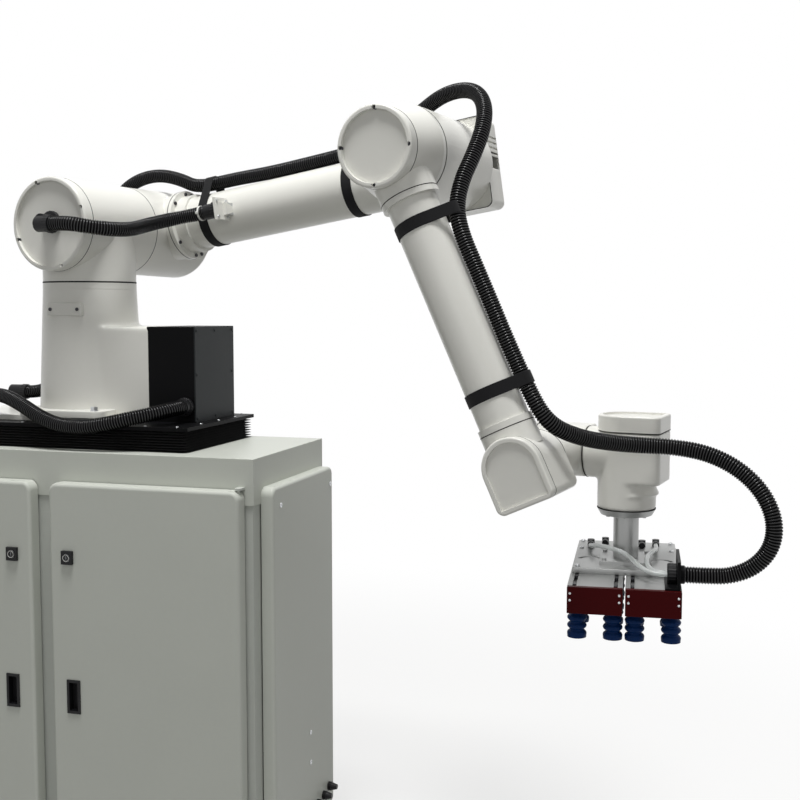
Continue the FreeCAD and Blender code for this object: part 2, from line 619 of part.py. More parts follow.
yoke_top = f"({plate_low} - post_length)"
yoke = box("yoke_plate", "post_spread + 4 * post_radius", "post_setback + 4 * post_radius",
           "deck_thickness", ("arm_x - post_spread / 2 - 2 * post_radius",
                              "arm_y - post_setback / 2 - 2 * post_radius",
                              f"{yoke_top} - deck_thickness"))
yoke = soften("yoke_corners", yoke, size("post_radius"), lambda edge: along(edge, 2))
nut = rod("lift_nut", "nut_radius", "4 * deck_thickness",
          ("arm_x", "arm_y", f"{yoke_top} - 2.5 * deck_thickness"))
nut_bore = rod("nut_bore", "screw_radius + screw_clearance", "8 * deck_thickness",
               ("arm_x", "arm_y", f"{yoke_top} - 5 * deck_thickness"))
node(carve("lift_yoke", fuse("yoke_blank", yoke, nut), nut_bore), "lift_yoke")

tray_top = "(frame_foot + frame_tube)"
motor = [
    box("motor_body", "3.4 * nut_radius", "3.4 * nut_radius", "3 * nut_radius",
        ("arm_x - 1.7 * nut_radius", "arm_y - 1.7 * nut_radius", tray_top)),
    box("motor_flange", "5 * nut_radius", "5 * nut_radius", "deck_thickness",
        ("arm_x - 2.5 * nut_radius", "arm_y - 2.5 * nut_radius", f"{tray_top} + 3 * nut_radius")),
]
motor_body = soften("motor_corners", motor[0], size("nut_radius") / 3,
                    lambda edge: along(edge, 2))
motor_legs = [box(f"motor_leg_{number}", "frame_tube / 2", "frame_tube / 2", "3 * nut_radius",
                  (f"arm_x + {sign_x} * 2.1 * nut_radius - frame_tube / 4",
                   f"arm_y + {sign_y} * 2.1 * nut_radius - frame_tube / 4", tray_top))
              for number, (sign_x, sign_y) in enumerate(
                  ((-1, -1), (-1, 1), (1, -1), (1, 1)), start=1)]
low_bore = rod("low_bearing_bore", "screw_radius + pivot_clearance", "2 * deck_thickness",
               ("arm_x", "arm_y", f"{tray_top} + 3 * nut_radius - deck_thickness / 2"))
node(carve("lift_motor", fuse("motor_blank", motor_body, motor[1], *motor_legs), low_bore),
     "lift_motor")

screw_low = f"({tray_top} + 3 * nut_radius)"
screw = rod("screw_shaft", "screw_radius", f"{deck_top} + deck_thickness - {screw_low}",
            ("arm_x", "arm_y", screw_low))
collar = rod("screw_collar", "1.5 * screw_radius", "deck_thickness / 2",
             ("arm_x", "arm_y", f"{screw_low} + deck_thickness + pivot_clearance"))
node(fuse("lift_screw", screw, collar), "lift_screw")

# Units on the cabinet's base: the arm's controller on the left, the vacuum pump on the right
case_x = f"({frame_left} + unit_side)"
controller = box("controller_case", "controller_width", "controller_depth", "controller_height",
                 (case_x, "-controller_depth / 2", tray_top))
controller = soften("controller_edges", controller, 2 * size("skin"), lambda edge: along(edge, 2))
vents = [box(f"controller_vent_{number + 1}", "0.64 * controller_width", "3 * skin", "vent_tall",
             (f"{case_x} + 0.18 * controller_width", "-controller_depth / 2 - 1.5 * skin",
              f"{tray_top} + 0.68 * controller_height + {number} * vent_pitch"))
         for number in range(int(size("vent_count")))]
inside = box("controller_inside", "controller_width - 2 * skin", "controller_depth - 2 * skin",
             "controller_height - 2 * skin",
             (f"{case_x} + skin", "-controller_depth / 2 + skin", f"{tray_top} + skin"))
node(carve("control_unit", controller, inside, *vents), "control_unit")

pump_x = f"({frame_right} - pump_width / 2 - skin * 8)"
pump_axis = f"({tray_top} + pump_base + 0.94 * pump_radius)"
pump_front = "(-pump_length / 2 + 10)"
pump_fins = [rod(f"pump_fin_{number + 1}", "pump_radius + 4", "4",
                 (pump_x, f"{pump_front} + 18 + {number} * 16", pump_axis), "y")
             for number in range(7)]
pump = fuse(
    "pump_blank",
    box("pump_base", "pump_width", "pump_length", "pump_base",
        (f"{pump_x} - pump_width / 2", "-pump_length / 2", tray_top)),
    rod("pump_body", "pump_radius", "150", (pump_x, pump_front, pump_axis), "y"),
    rod("pump_motor", "pump_motor_radius", "pump_length - 170",
        (pump_x, f"{pump_front} + 150", pump_axis), "y"),
    box("pump_saddle", "1.25 * pump_radius", "pump_length - 40", "40",
        (f"{pump_x} - 0.625 * pump_radius", "-pump_length / 2 + 20",
         f"{tray_top} + pump_base - 2")),
    rod("pump_port", "pump_port_radius", "pump_radius + 30",
        (pump_x, f"{pump_front} + 75", pump_axis)),
    *pump_fins,
)
node(pump, "vacuum_pump")

# Cable glands low on the right side panel, blind
glands = []
panel_face = "(cabinet_width / 2 + panel_depth)"
for number, (gland_y, gland_z) in enumerate(((86, 118), (128, 122), (166, 130)), start=1):
    nut = rod(f"cable_nut_{number}", "11", "9", (panel_face, gland_y, gland_z), "x")
    dome = taper(f"cable_dome_{number}", "10", "6", "14",
                 (f"{panel_face} + 9", gland_y, gland_z), "x")
    glands.append(fuse(f"cable_gland_{number}", nut, dome))
node(group("cable_glands", *glands), "cable_glands")

# Bellows: folds of a square tube between the cabinet and the top plate
fold_pitch = size("bellows_stack") / size("fold_count")


def rectangle_wire(width, depth, level):
    half_w, half_d = width / 2, depth / 2
    corners = [Vector(-half_w, -half_d, level), Vector(half_w, -half_d, level),
               Vector(half_w, half_d, level), Vector(-half_w, half_d, level)]
    return Part.makePolygon(corners + corners[:1])


def folded_skin(width, depth, fold):
    """The closed form of a folded rectangular tube, in at every half fold."""
    wires = []
    for number in range(2 * int(size("fold_count")) + 1):
        inset = fold if number % 2 else 0
        wires.append(rectangle_wire(width - 2 * inset, depth - 2 * inset,
                                    number * fold_pitch / 2))
    return Part.makeLoft(wires, True, True)


gap = size("pivot_clearance")
fold_depth = size("bellows_wall") / 2
bellows_outer = folded_skin(size("bellows_width"), size("bellows_depth"), fold_depth)
bellows_inner = Part.makeBox(
    size("bellows_width") - 2 * size("bellows_wall"),
    size("bellows_depth") - 2 * size("bellows_wall"), 2 * size("bellows_stack"),
    Vector(-size("bellows_width") / 2 + size("bellows_wall"),
           -size("bellows_depth") / 2 + size("bellows_wall"), -gap))
bellows = solid("lift_bellows", bellows_outer.cut(bellows_inner))
node(bellows, "lift_bellows", shift(size("arm_x"), size("arm_y"), size("cabinet_height")))

# Top plate of the lift and the adapter plate under the pedestal
plate = box("plate_blank", "bellows_width + 8", "bellows_depth + 4", "plate_thickness",
            ("-bellows_width / 2 - 4", "-bellows_depth / 2 - 2", "-plate_thickness"))
plate = soften("lift_top_plate", plate, 4, lambda edge: along(edge, 2))
node(plate, "lift_top_plate", LIFT)

adapter = box("adapter_blank", "adapter_left + adapter_right", "adapter_depth",
              "adapter_thickness", ("-adapter_left", "-adapter_depth / 2", 0))
adapter = soften("adapter_plate", adapter, 10, lambda edge: along(edge, 2))
node(adapter, "adapter_plate", LIFT)

# Pedestal: a tapered casting with a square foot and a saddle towards the junction box
PEDESTAL = LIFT.multiply(shift(0, 0, size("adapter_thickness")))
stem = taper("pedestal_stem", "pedestal_low_radius", "seam_radius", "pedestal_height")
foot = box("pedestal_foot", "pedestal_foot_width", "pedestal_foot_depth", "pedestal_flange",
           ("-pedestal_foot_width / 2", "-pedestal_foot_depth / 2", 0))
foot = soften("pedestal_foot_corners", foot, 24, lambda edge: along(edge, 2))
saddle_height = size("box_height") - size("adapter_thickness")
saddle_reach = size("box_left") - 2
saddle_back = size("box_front") + size("box_depth")
tangent_r = size("pedestal_low_radius") - 6
saddle_corners = [Vector(-20, -tangent_r + 8, 0), Vector(saddle_reach, size("box_front"), 0),
                  Vector(saddle_reach, saddle_back - 20, 0), Vector(-20, tangent_r - 8, 0)]
saddle_face = Part.Face(Part.makePolygon(saddle_corners + saddle_corners[:1]))
saddle = solid("pedestal_saddle", saddle_face.extrude(Vector(0, 0, saddle_height)))
saddle = soften("pedestal_saddle_edge", saddle, 10, on_face(2, saddle_height))
stem_bore = rod("pedestal_bore", "seam_radius - 2 * casting_wall", "pedestal_height", (0, 0, 0))
pad_top = "(pedestal_height - pad_drop)"
pad = box("pedestal_pad", "pad_width", "pedestal_low_radius", "pad_tall",
          ("pad_place - pad_width / 2", "-pedestal_low_radius", f"{pad_top} - pad_tall"))
pad = soften("pedestal_pad_sides", pad, 16, lambda edge: along(edge, 2) and edge.BoundBox.YMax < -1)
pad = soften("pedestal_pad_edge", pad, 5, on_face(1, -size("pedestal_low_radius")))
pad_screws = [rod(f"pad_screw_{number}", "4.5", "4",
                  (f"pad_place + {sign} * pad_screw_pitch / 2", "-pedestal_low_radius",
                   f"{pad_top} - 18"), "y") for number, sign in ((1, -1), (2, 1))]
pedestal_body = fuse("pedestal_blank", stem, foot, saddle, pad)
node(carve("pedestal", pedestal_body, stem_bore, *pad_screws), "pedestal", PEDESTAL)

bolts = []
for number, (sign_x, sign_y) in enumerate(((-1, -1), (-1, 1), (1, -1), (1, 1)), start=1):
    bolt_x = f"{sign_x} * (pedestal_foot_width / 2 - 22)"
    bolt_y = f"{sign_y} * (pedestal_foot_depth / 2 - 14)"
    washer = rod(f"bolt_washer_{number}", "10", "2", (bolt_x, bolt_y, "pedestal_flange"))
    hexagon = doc.addObject("Part::Prism", f"bolt_hexagon_{number}")
    hexagon.Polygon = 6
    bind(hexagon, "Circumradius", "9")
    bind(hexagon, "Height", "8")
    place(hexagon, (bolt_x, bolt_y, "pedestal_flange + 2"))
    bolts.append(fuse(f"pedestal_bolt_{number}", washer, hexagon))
node(group("pedestal_bolts", *bolts), "pedestal_bolts", PEDESTAL)

# Junction box: a folded case on the top plate with a screwed cover on its right
cover_x = "(box_left + box_width - skin)"
case = box("junction_case", "box_width - skin", "box_depth", "box_height",
           ("box_left", "box_front", 0))
hollow = box("junction_hollow", "box_width", "box_depth - 2 * skin", "box_height - 2 * skin",
             ("box_left + skin", "box_front + skin", "skin"))
node(carve("junction_box", case, hollow), "junction_box", LIFT)
lid = box("junction_lid", "skin", "box_depth", "box_height", (cover_x, "box_front", 0))
lid = soften("junction_lid_corners", lid, 3, lambda edge: along(edge, 0))
heads = []
for number, (y_share, z_share) in enumerate(
        ((0, 0), (0.5, 0), (1, 0), (1, 0.5), (1, 1), (0.5, 1), (0, 1), (0, 0.5)), start=1):
    heads.append(rod(f"lid_screw_{number}", "3.5", "skin",
                     (f"{cover_x} + skin / 2", f"box_front + 9 + {y_share} * (box_depth - 18)",
                      f"9 + {z_share} * (box_height - 18)"), "x"))
node(fuse("junction_box_cover", lid, *heads), "junction_box_cover", LIFT)


# Hoses: straight runs joined by tangent arcs

def hose_shape(points, radius):
    """A round hose along the points, each corner as round as its two runs allow."""
    cuts, bends = [], []
    for before, corner, after in zip(points, points[1:], points[2:]):
        back, ahead = before - corner, after - corner
        shorter = min(back.Length, ahead.Length)
        turn = math.pi - back.getAngle(ahead)
        tangent = 0.45 * shorter
        bends.append(tangent / math.tan(turn / 2))
        start = corner + back.normalize() * tangent
        finish = corner + ahead.normalize() * tangent
        inward = (back + ahead).normalize()
        middle = corner + inward * (bends[-1] / math.cos(turn / 2) - bends[-1])
        cuts.append((start, middle, finish))
    edges, here = [], points[0]
    for start, middle, finish in cuts:
        edges.append(Part.LineSegment(here, start).toShape())
        edges.append(Part.Arc(start, middle, finish).toShape())
        here = finish
    edges.append(Part.LineSegment(here, points[-1]).toShape())
    path = Part.Wire(edges)
    circle = Part.Circle(points[0], points[1] - points[0], radius)
    tube = path.makePipe(Part.Face(Part.Wire(circle.toShape())))
    expected = math.pi * radius ** 2 * path.Length
    return tube, path.Length, min(bends), tube.Volume / expected


def hose(label, points, radius, frame):
    """A hose node; prints its length, tightest bend and volume check."""
    corners = [Vector(*point) for point in points]
    tube, length, bend, ratio = hose_shape(corners, radius)
    print(f"{label}: length {length:.0f}, tightest bend {bend:.0f}, volume ratio {ratio:.4f}")
    return node(solid(label, tube), label, frame)


def gland(name, start, axis, sign, nut="gland_radius"):
    """A hose gland: a nut at the wall and a slimmer sleeve that takes the hose."""
    def at(offset):
        spot = list(start)
        spot["xyz".index(axis)] = f"{start['xyz'.index(axis)]} + {sign} * ({offset})"
        return spot
    first = "0" if sign > 0 else "12"
    second = "12" if sign > 0 else "26"
    ring = rod(name + "_nut", nut, "12", at(first), axis)
    sleeve = rod(name + "_sleeve", "hose_radius + 1.5", "14", at(second), axis)
    return fuse(name, ring, sleeve)


box_gland_z = 37
box_gland_x = "(box_left + 100)"
hose_glands = [gland("box_gland", (box_gland_x, "box_front", box_gland_z), "y", -1)]
for number, (entry_x, entry_y, stand, entry_z) in enumerate(
        ((-304, -100, "adapter_thickness", 56), (-330, 152, 0, 46)), start=1):
    hose_glands.append(fuse(
        f"plate_gland_{number}",
        rod(f"plate_gland_{number}_nut", "gland_radius + 3", "12", (entry_x, entry_y, stand)),
        rod(f"plate_gland_{number}_stem", "hose_radius", f"{entry_z} - {stand}",
            (entry_x, entry_y, stand)),
        rod(f"plate_gland_{number}_sleeve", "hose_radius + 1.5", "50",
            (entry_x - 12, entry_y, entry_z), "x"),
    ))
node(group("hose_glands", *hose_glands), "hose_glands", LIFT)

# The hose hangs over the front edge of the top plate and keeps with that edge
edge_y = -size("bellows_depth") / 2
junction_route = [(291, -91.2, 37), (291, -118, 37), (268, -158, 30), (220, edge_y - 10, 20),
                  (168, edge_y - 26, 7), (105, edge_y - 31, -3), (40, edge_y - 27, 0),
                  (-18, edge_y - 16, 17), (-74, edge_y + 1, 41), (-126, -158, 56),
                  (-174, -128, 60), (-222, -100, 56), (-265.8, -100, 56)]
hose("junction_hose", junction_route, size("hose_radius"), LIFT)

# Turret: the shoulder barrel on its column, open at the turning seam and at both ends
column = rod("turret_column", "seam_radius", "shoulder_height - seam_gap", (0, 0, "seam_gap"))
barrel = rod("turret_barrel", "shoulder_radius", "shoulder_front + shoulder_seam - seam_gap",
             (0, "-shoulder_front", "shoulder_height"), "y")
column_bore = rod("turret_column_bore", "seam_radius - casting_wall", "shoulder_height", (0, 0, 0))
barrel_bore = rod("turret_barrel_bore", "shoulder_radius - casting_wall",
                  "shoulder_front + shoulder_seam", (0, "-shoulder_front", "shoulder_height"), "y")
turret = carve("turret_housing", fuse("turret_blank", column, barrel), column_bore, barrel_bore)
node(turret, "turret_housing", ARM)


def round_cover(name, radius, back, centre_z="0", turn=20):
    """A round screwed cover on a barrel's front end, its face sunk inside a rim."""
    disc = rod(name + "_disc", radius, "cover_depth", (0, f"{back} - cover_depth", centre_z), "y")
    doc.recompute()
    disc = soften(name + "_rim", disc, 5, on_face(1, disc.Shape.BoundBox.YMin))
    sunk = rod(name + "_sunk", f"{radius} - cover_rim", "2 * cover_recess",
               (0, f"{back} - cover_depth - cover_recess", centre_z), "y")
    notches = []
    for number in range(4):
        angle = math.radians(90 * number + turn)
        notches.append(rod(f"{name}_notch_{number + 1}", "4.5", "2 * cover_recess",
                           (f"({radius} - 7) * {math.cos(angle):.4f}",
                            f"{back} - cover_depth - cover_recess",
                            f"{centre_z} + ({radius} - 7) * {math.sin(angle):.4f}"), "y"))
    return carve(name, disc, sunk, *notches)


def flat_outline(body, name, radius, flat, height):
    """A sketch of a half circle and the straight sides that run on to a flat."""
    plane = next(item for item in body.Origin.OriginFeatures if item.Role == "XY_Plane")
    sketch = body.newObject("Sketcher::SketchObject", name)
    sketch.AttachmentSupport = [(plane, "")]
    sketch.MapMode = "FlatFace"
    bind(sketch, "AttachmentOffset.Base.z", height)
    half, reach = 50.0, 70.0
    circle = Part.Circle(Vector(), Vector(0, 0, 1), half)
    sketch.addGeometry(Part.ArcOfCircle(circle, math.pi / 2, 3 * math.pi / 2))
    corners = [Vector(0, half, 0), Vector(reach, half, 0), Vector(reach, -half, 0),
               Vector(0, -half, 0)]
    for first, second in zip(corners, corners[1:]):
        sketch.addGeometry(Part.LineSegment(first, second))
    rules = [("Coincident", 0, 3, -1, 1), ("Coincident", 0, 1, 1, 1),
             ("Coincident", 1, 2, 2, 1), ("Coincident", 2, 2, 3, 1),
             ("Coincident", 3, 2, 0, 2), ("PointOnObject", 0, 1, -2),
             ("PointOnObject", 0, 2, -2), ("Horizontal", 1), ("Vertical", 2),
             ("Horizontal", 3)]
    for rule in rules:
        sketch.addConstraint(Sketcher.Constraint(*rule))
    round_one = sketch.addConstraint(Sketcher.Constraint("Radius", 0, half))
    flat_one = sketch.addConstraint(Sketcher.Constraint("DistanceX", -1, 1, 1, 2, reach))
    bind(sketch, f"Constraints[{round_one}]", radius)
    bind(sketch, f"Constraints[{flat_one}]", flat)
    return sketch


def flat_ended(name, radius, flat, depth, frame, edge="0"):
    """A prism with one round end and one flat end, its back face in the frame's plane."""
    body = doc.addObject("PartDesign::Body", name)
    pad = body.newObject("PartDesign::Pad", name + "_pad")
    pad.Profile = flat_outline(body, name + "_outline", radius, flat, "0")
    bind(pad, "Length", depth)
    doc.recompute()
    long_edges = [f"Edge{number}" for number, item in enumerate(pad.Shape.Edges, start=1)
                  if along(item, 2) and item.BoundBox.XMin > 1]
    corner = body.newObject("PartDesign::Fillet", name + "_corners")
    corner.Base = (pad, long_edges)
    bind(corner, "Radius", "wrist_corner")
    doc.recompute()
    if edge != "0":
        top = corner.Shape.BoundBox.ZMax
        rim = [f"Edge{number}" for number, item in enumerate(corner.Shape.Edges, start=1)
               if on_face(2, top)(item)]
        rounded = body.newObject("PartDesign::Fillet", name + "_rim")
        rounded.Base = (corner, rim)
        bind(rounded, "Radius", edge)
        doc.recompute()
    body.Placement = frame
    return body


def sink(body, name, radius, flat, level, depth):
    """Cuts the same outline, smaller, from the level down into a flat-ended body."""
    before = body.Shape.Volume
    pocket = body.newObject("PartDesign::Pocket", name)
    pocket.Profile = flat_outline(body, name + "_outline", radius, flat, level)
    bind(pocket, "Length", depth)
    doc.recompute()
    if body.Shape.Volume > before - 1:
        pocket.Reversed = True
        doc.recompute()
    if body.Shape.Volume > before - 1:
        raise RuntimeError(f"{name} removes nothing")
    return body


def facing(x, y, z, across, ahead):
    """A placement whose own x runs across and whose own z runs ahead."""
    upward = ahead.cross(across)
    return Placement(Vector(x, y, z), Rotation(across, upward, ahead, "ZXY"))


def screws(name, spots, axis, level, sign, radius="3.5", depth="3"):
    """Cylinder screw heads on a face: spots hold the two other coordinates."""
    heads = []
    for number, (first, second) in enumerate(spots, start=1):
        base = f"{level}" if sign > 0 else f"{level} - {depth}"
        start = {"x": (base, first, second), "y": (first, base, second),
                 "z": (first, second, base)}[axis]
        heads.append(rod(f"{name}_{number}", radius, depth, start, axis))
    return heads


def ring_spots(radius, count, turn=0.0):
    return [(radius * math.cos(math.radians(turn + 360 * number / count)),
             radius * math.sin(math.radians(turn + 360 * number / count)))
            for number in range(count)]


X_AXIS, Y_AXIS, Z_AXIS = Vector(1, 0, 0), Vector(0, 1, 0), Vector(0, 0, 1)

node(round_cover("shoulder_cover", "shoulder_radius", "-shoulder_front", "shoulder_height"),
     "shoulder_cover", ARM)

# Shoulder gland: an elbow fitting on the shoulder cover that takes its hose to the right
cover_face = "(-shoulder_front - cover_depth + cover_recess)"
gland_parts = [
    rod("shoulder_gland_nut", "gland_radius + 4", "10",
        (5, f"{cover_face} - 10", "shoulder_height + 4"), "y"),
    rod("shoulder_gland_stem", "hose_radius", "34",
        (5, f"{cover_face} - 42", "shoulder_height + 4"), "y"),
    rod("shoulder_gland_sleeve", "hose_radius + 1.5", "40",
        (0, f"{cover_face} - 42", "shoulder_height - 3"), "x"),
]
node(fuse("shoulder_gland", *gland_parts), "shoulder_gland", ARM)


# Upper arm, in its own frame: +x runs along the arm, y across and z up from it

seat = "(shoulder_seam + seam_gap / 2)"
root = taper("root_barrel", "shoulder_radius", "upper_root_radius", "upper_root_length",
             (0, "shoulder_seam", 0), "y")
doc.recompute()
root = soften("root_end", root, 28, on_face(1, root.Shape.BoundBox.YMax))
root_solids = [
    root,
    rod("root_stub", "upper_flange_radius - 5", "upper_flange_place", (0, "upper_plane", 0), "x"),
    rod("root_flange", "upper_flange_radius", "flange_thickness",
        ("upper_flange_place - flange_thickness", "upper_plane", 0), "x"),
    rod("root_spigot", "shoulder_radius - casting_wall - pivot_clearance", "22",
        (0, "shoulder_seam - 20", 0), "y"),
]
root_bores = [
    rod("root_bore", "shoulder_radius - 1.5 * casting_wall",
        "upper_root_length - 2 * casting_wall", (0, "shoulder_seam + casting_wall", 0), "y"),
    rod("root_mouth", "shoulder_radius - 3 * casting_wall", "60", (0, "shoulder_seam - 30", 0), "y"),
    rod("root_stub_bore", "upper_tube_radius - upper_tube_wall", "upper_flange_place + 10",
        (0, "upper_plane", 0), "x"),
]
root_bolts = screws("root_bolt", [(f"upper_plane + {a:.2f}", f"{b:.2f}")
                                  for a, b in ring_spots(80, 8, 22.5)], "x",
                    "upper_flange_place - flange_thickness", -1, "5", "5")
node(carve("shoulder_housing", fuse("root_blank", *root_solids, *root_bolts), *root_bores),
     "shoulder_housing", UPPER)

tube_end = "(upper_arm_length - elbow_radius - 2)"
tube_solids = [
    rod("upper_near_flange", "upper_flange_radius", "flange_thickness",
        ("upper_flange_place", "upper_plane", 0), "x"),
    rod("upper_near_collar", "upper_tube_radius + 7", "43",
        ("upper_flange_place", "upper_plane", 0), "x"),
    rod("upper_tube", "upper_tube_radius", f"{tube_end} - upper_flange_place",
        ("upper_flange_place", "upper_plane", 0), "x"),
    rod("upper_far_collar", "upper_tube_radius + 7", "40",
        (f"{tube_end} - 40", "upper_plane", 0), "x"),
]
tube_bore = rod("upper_tube_bore", "upper_tube_radius - upper_tube_wall", "upper_arm_length",
                ("upper_flange_place", "upper_plane", 0), "x")
node(carve("upper_arm_tube", fuse("upper_tube_blank", *tube_solids), tube_bore),
     "upper_arm_tube", UPPER)

# Elbow drive housing: a barrel across the arm that takes the tube on its side
elbow_solids = [
    rod("elbow_barrel", "elbow_radius", "elbow_drive_end - elbow_seam - seam_gap",
        ("upper_arm_length", "elbow_seam + seam_gap", 0), "y"),
    rod("elbow_stub", "upper_tube_radius + 13", "elbow_radius + 2",
        (tube_end, "upper_plane", 0), "x"),
]
elbow_bores = [
    rod("elbow_barrel_bore", "elbow_radius - casting_wall", "elbow_drive_end - elbow_seam",
        ("upper_arm_length", "elbow_seam", 0), "y"),
    rod("elbow_stub_bore", "upper_tube_radius - upper_tube_wall", "elbow_radius + 2",
        (tube_end, "upper_plane", 0), "x"),
]
node(carve("elbow_drive_housing", fuse("elbow_blank", *elbow_solids), *elbow_bores),
     "elbow_drive_housing", UPPER)

cover_frame = facing(size("upper_arm_length"), size("elbow_drive_end") + 0.2, 0, X_AXIS, Y_AXIS)
drive_cover = flat_ended("elbow_cover_body", "elbow_radius", "92", "elbow_cover_depth",
                         cover_frame, "14")
cover_hollow = rod("drive_cover_hollow", "elbow_radius - casting_wall", "elbow_cover_depth - 14",
                   ("upper_arm_length", "elbow_drive_end", 0), "y")
saddle_cut = rod("drive_cover_saddle", "upper_tube_radius + 13.1", "elbow_radius + 2",
                 (tube_end, "upper_plane", 0), "x")
fins = [box(f"drive_cover_fin_{number + 1}", "6", "66", "5",
            ("upper_arm_length + 88", "elbow_drive_end + 14", f"{number} * fin_pitch - 4"))
        for number in range(int(size("fin_count")))]
node(carve("elbow_drive_cover", drive_cover, cover_hollow, saddle_cut, *fins),
     "elbow_drive_cover", UPPER)

# Hose bracket: a square plate on a block beside the tube, with a gland through it
bracket_y, bracket_z, bracket_x = 150, 4, 286
bracket = [
    box("bracket_plate", "7", "54", "54", (bracket_x, bracket_y - 27, bracket_z - 27)),
    box("bracket_block", "30", "50", "30", (bracket_x - 12, bracket_y + 5, bracket_z - 15)),
]
tube_clear = rod("bracket_clear", "upper_tube_radius", "80", (bracket_x - 30, "upper_plane", 0), "x")
bracket_screws = screws("bracket_screw", [(bracket_y + a, bracket_z + b) for a in (-20, 20)
                                          for b in (-20, 20)], "x", bracket_x + 7, 1)
bracket_gland = [
    rod("bracket_nut", "gland_radius", "16", (bracket_x - 16, bracket_y, bracket_z), "x"),
    rod("bracket_sleeve", "hose_radius + 1.5", "24", (bracket_x - 40, bracket_y, bracket_z), "x"),
]
node(carve("hose_bracket", fuse("bracket_blank", *bracket, *bracket_screws, *bracket_gland),
           tube_clear), "hose_bracket", UPPER)


# Forearm, in its own frame: +x runs down the forearm and z away from the camera side

elbow_cone = "(elbow_seam - 15 - elbow_front)"
fore_solids = [
    taper("fore_cone", "elbow_small_radius", "elbow_radius - 1", elbow_cone,
          (0, "elbow_front", 0), "y"),
    rod("fore_ring", "elbow_radius - 1", "15 - seam_gap", (0, "elbow_seam - 15", 0), "y"),
    rod("fore_stub", "collar_radius", "collar_place", (0, "forearm_plane", 0), "x"),
    rod("fore_spigot", "elbow_radius - casting_wall - pivot_clearance", "32",
        (0, "elbow_seam - 10", 0), "y"),
]
fore_bores = [
    rod("fore_bore", "elbow_small_radius - casting_wall", "elbow_seam - elbow_front - 12",
        (0, "elbow_front", 0), "y"),
    rod("fore_mouth", "elbow_small_radius - 1.5 * casting_wall", "60", (0, "elbow_seam - 30", 0),
        "y"),
    rod("fore_stub_bore", "forearm_radius - forearm_wall", "collar_place + 5",
        (0, "forearm_plane", 0), "x"),
    rod("fore_cover_room", "elbow_small_radius + 0.3", "cover_depth",
        (0, "elbow_front - cover_depth", 0), "y"),
    carve("fore_seam_room",
          box("fore_seam_block", "collar_place", "30", "2 * collar_radius",
              (0, "elbow_seam - seam_gap", "-collar_radius")),
          rod("fore_seam_core", "elbow_radius - casting_wall - pivot_clearance", "40",
              (0, "elbow_seam - 5", 0), "y")),
]
node(carve("elbow_housing", fuse("fore_blank", *fore_solids), *fore_bores),
     "elbow_housing", FOREARM)
node(round_cover("elbow_cover", "elbow_small_radius", "elbow_front", "0", 65),
     "elbow_cover", FOREARM)

fore_end = "(forearm_length - wrist_flange_place)"
fore_tube = [
    rod("fore_collar", "collar_radius", "13", ("collar_place + 0.3", "forearm_plane", 0), "x"),
    rod("fore_tube", "forearm_radius", f"{fore_end} - collar_place - 0.3",
        ("collar_place + 0.3", "forearm_plane", 0), "x"),
    rod("fore_end_flange", "collar_radius - 4", "14", (f"{fore_end} - 14", "forearm_plane", 0), "x"),
]
fore_tube_bore = rod("fore_tube_bore", "forearm_radius - forearm_wall", "forearm_length",
                     ("collar_place", "forearm_plane", 0), "x")
node(carve("forearm_tube", fuse("fore_tube_blank", *fore_tube), fore_tube_bore),
     "forearm_tube", FOREARM)

wrist_back = size("wrist_seam_y") - size("seam_gap")
drive_depth = "(wrist_seam_y - seam_gap - elbow_front)"
drive_frame = facing(size("forearm_length"), wrist_back, 0, X_AXIS, -Y_AXIS)
drive = flat_ended("wrist_drive_body", "wrist_radius", "wrist_flat", drive_depth, drive_frame)
sink(drive, "wrist_drive_hollow", "wrist_radius - 8", "wrist_flat - 8", drive_depth,
     f"{drive_depth} - casting_wall")
drive_stub = rod("wrist_drive_stub", "wrist_stub_radius + 2", "wrist_flange_place - 30",
                 (fore_end, "forearm_plane", 0), "x")
drive_bore = rod("wrist_drive_bore", "46", "60", ("forearm_length", "wrist_seam_y - 30", 0), "y")
stub_bore = rod("wrist_stub_bore", "forearm_radius - forearm_wall", "60",
                (fore_end, "forearm_plane", 0), "x")
cover_room = rod("wrist_cover_room", "wrist_radius + 0.3", "wrist_cover_depth",
                 ("forearm_length", "elbow_front - wrist_cover_depth", 0), "y")
node(carve("wrist_drive_housing", fuse("wrist_drive_blank", drive, drive_stub), drive_bore,
           stub_bore, cover_room), "wrist_drive_housing", FOREARM)


def flat_cover(name, radius, flat, depth, frame, spots):
    """A screwed cover with one flat end, its face sunk inside a rim."""
    body = flat_ended(name + "_body", radius, flat, depth, frame, "4")
    sink(body, name + "_recess", f"{radius} - cover_rim", f"{flat} - cover_rim", depth,
         "cover_recess / 2")
    notches = []
    for number, (across, upward) in enumerate(spots, start=1):
        notch = rod(f"{name}_notch_{number}", "3.6", "cover_recess",
                    (across, upward, f"{depth} - cover_recess"))
        notch.Placement = frame.multiply(notch.Placement)
        clear_rules(notch)
        notches.append(notch)
    return carve(name, body, *notches)


def clear_rules(item):
    """Lets go of the bound corner of an item that has been turned into another frame."""
    for axis in "xyz":
        item.setExpression(f"Placement.Base.{axis}", None)


screw_spots = ((-56, 0), (0, 56), (0, -56), (70, 46), (70, -46))
front_frame = facing(size("forearm_length"), size("elbow_front") - 0.2, 0, X_AXIS, -Y_AXIS)
node(flat_cover("wrist_drive_cover", "wrist_radius", "wrist_flat", "wrist_cover_depth",
                front_frame, screw_spots), "wrist_drive_cover", FOREARM)


# First wrist, at the first wrist axis: a neck across and a housing along x

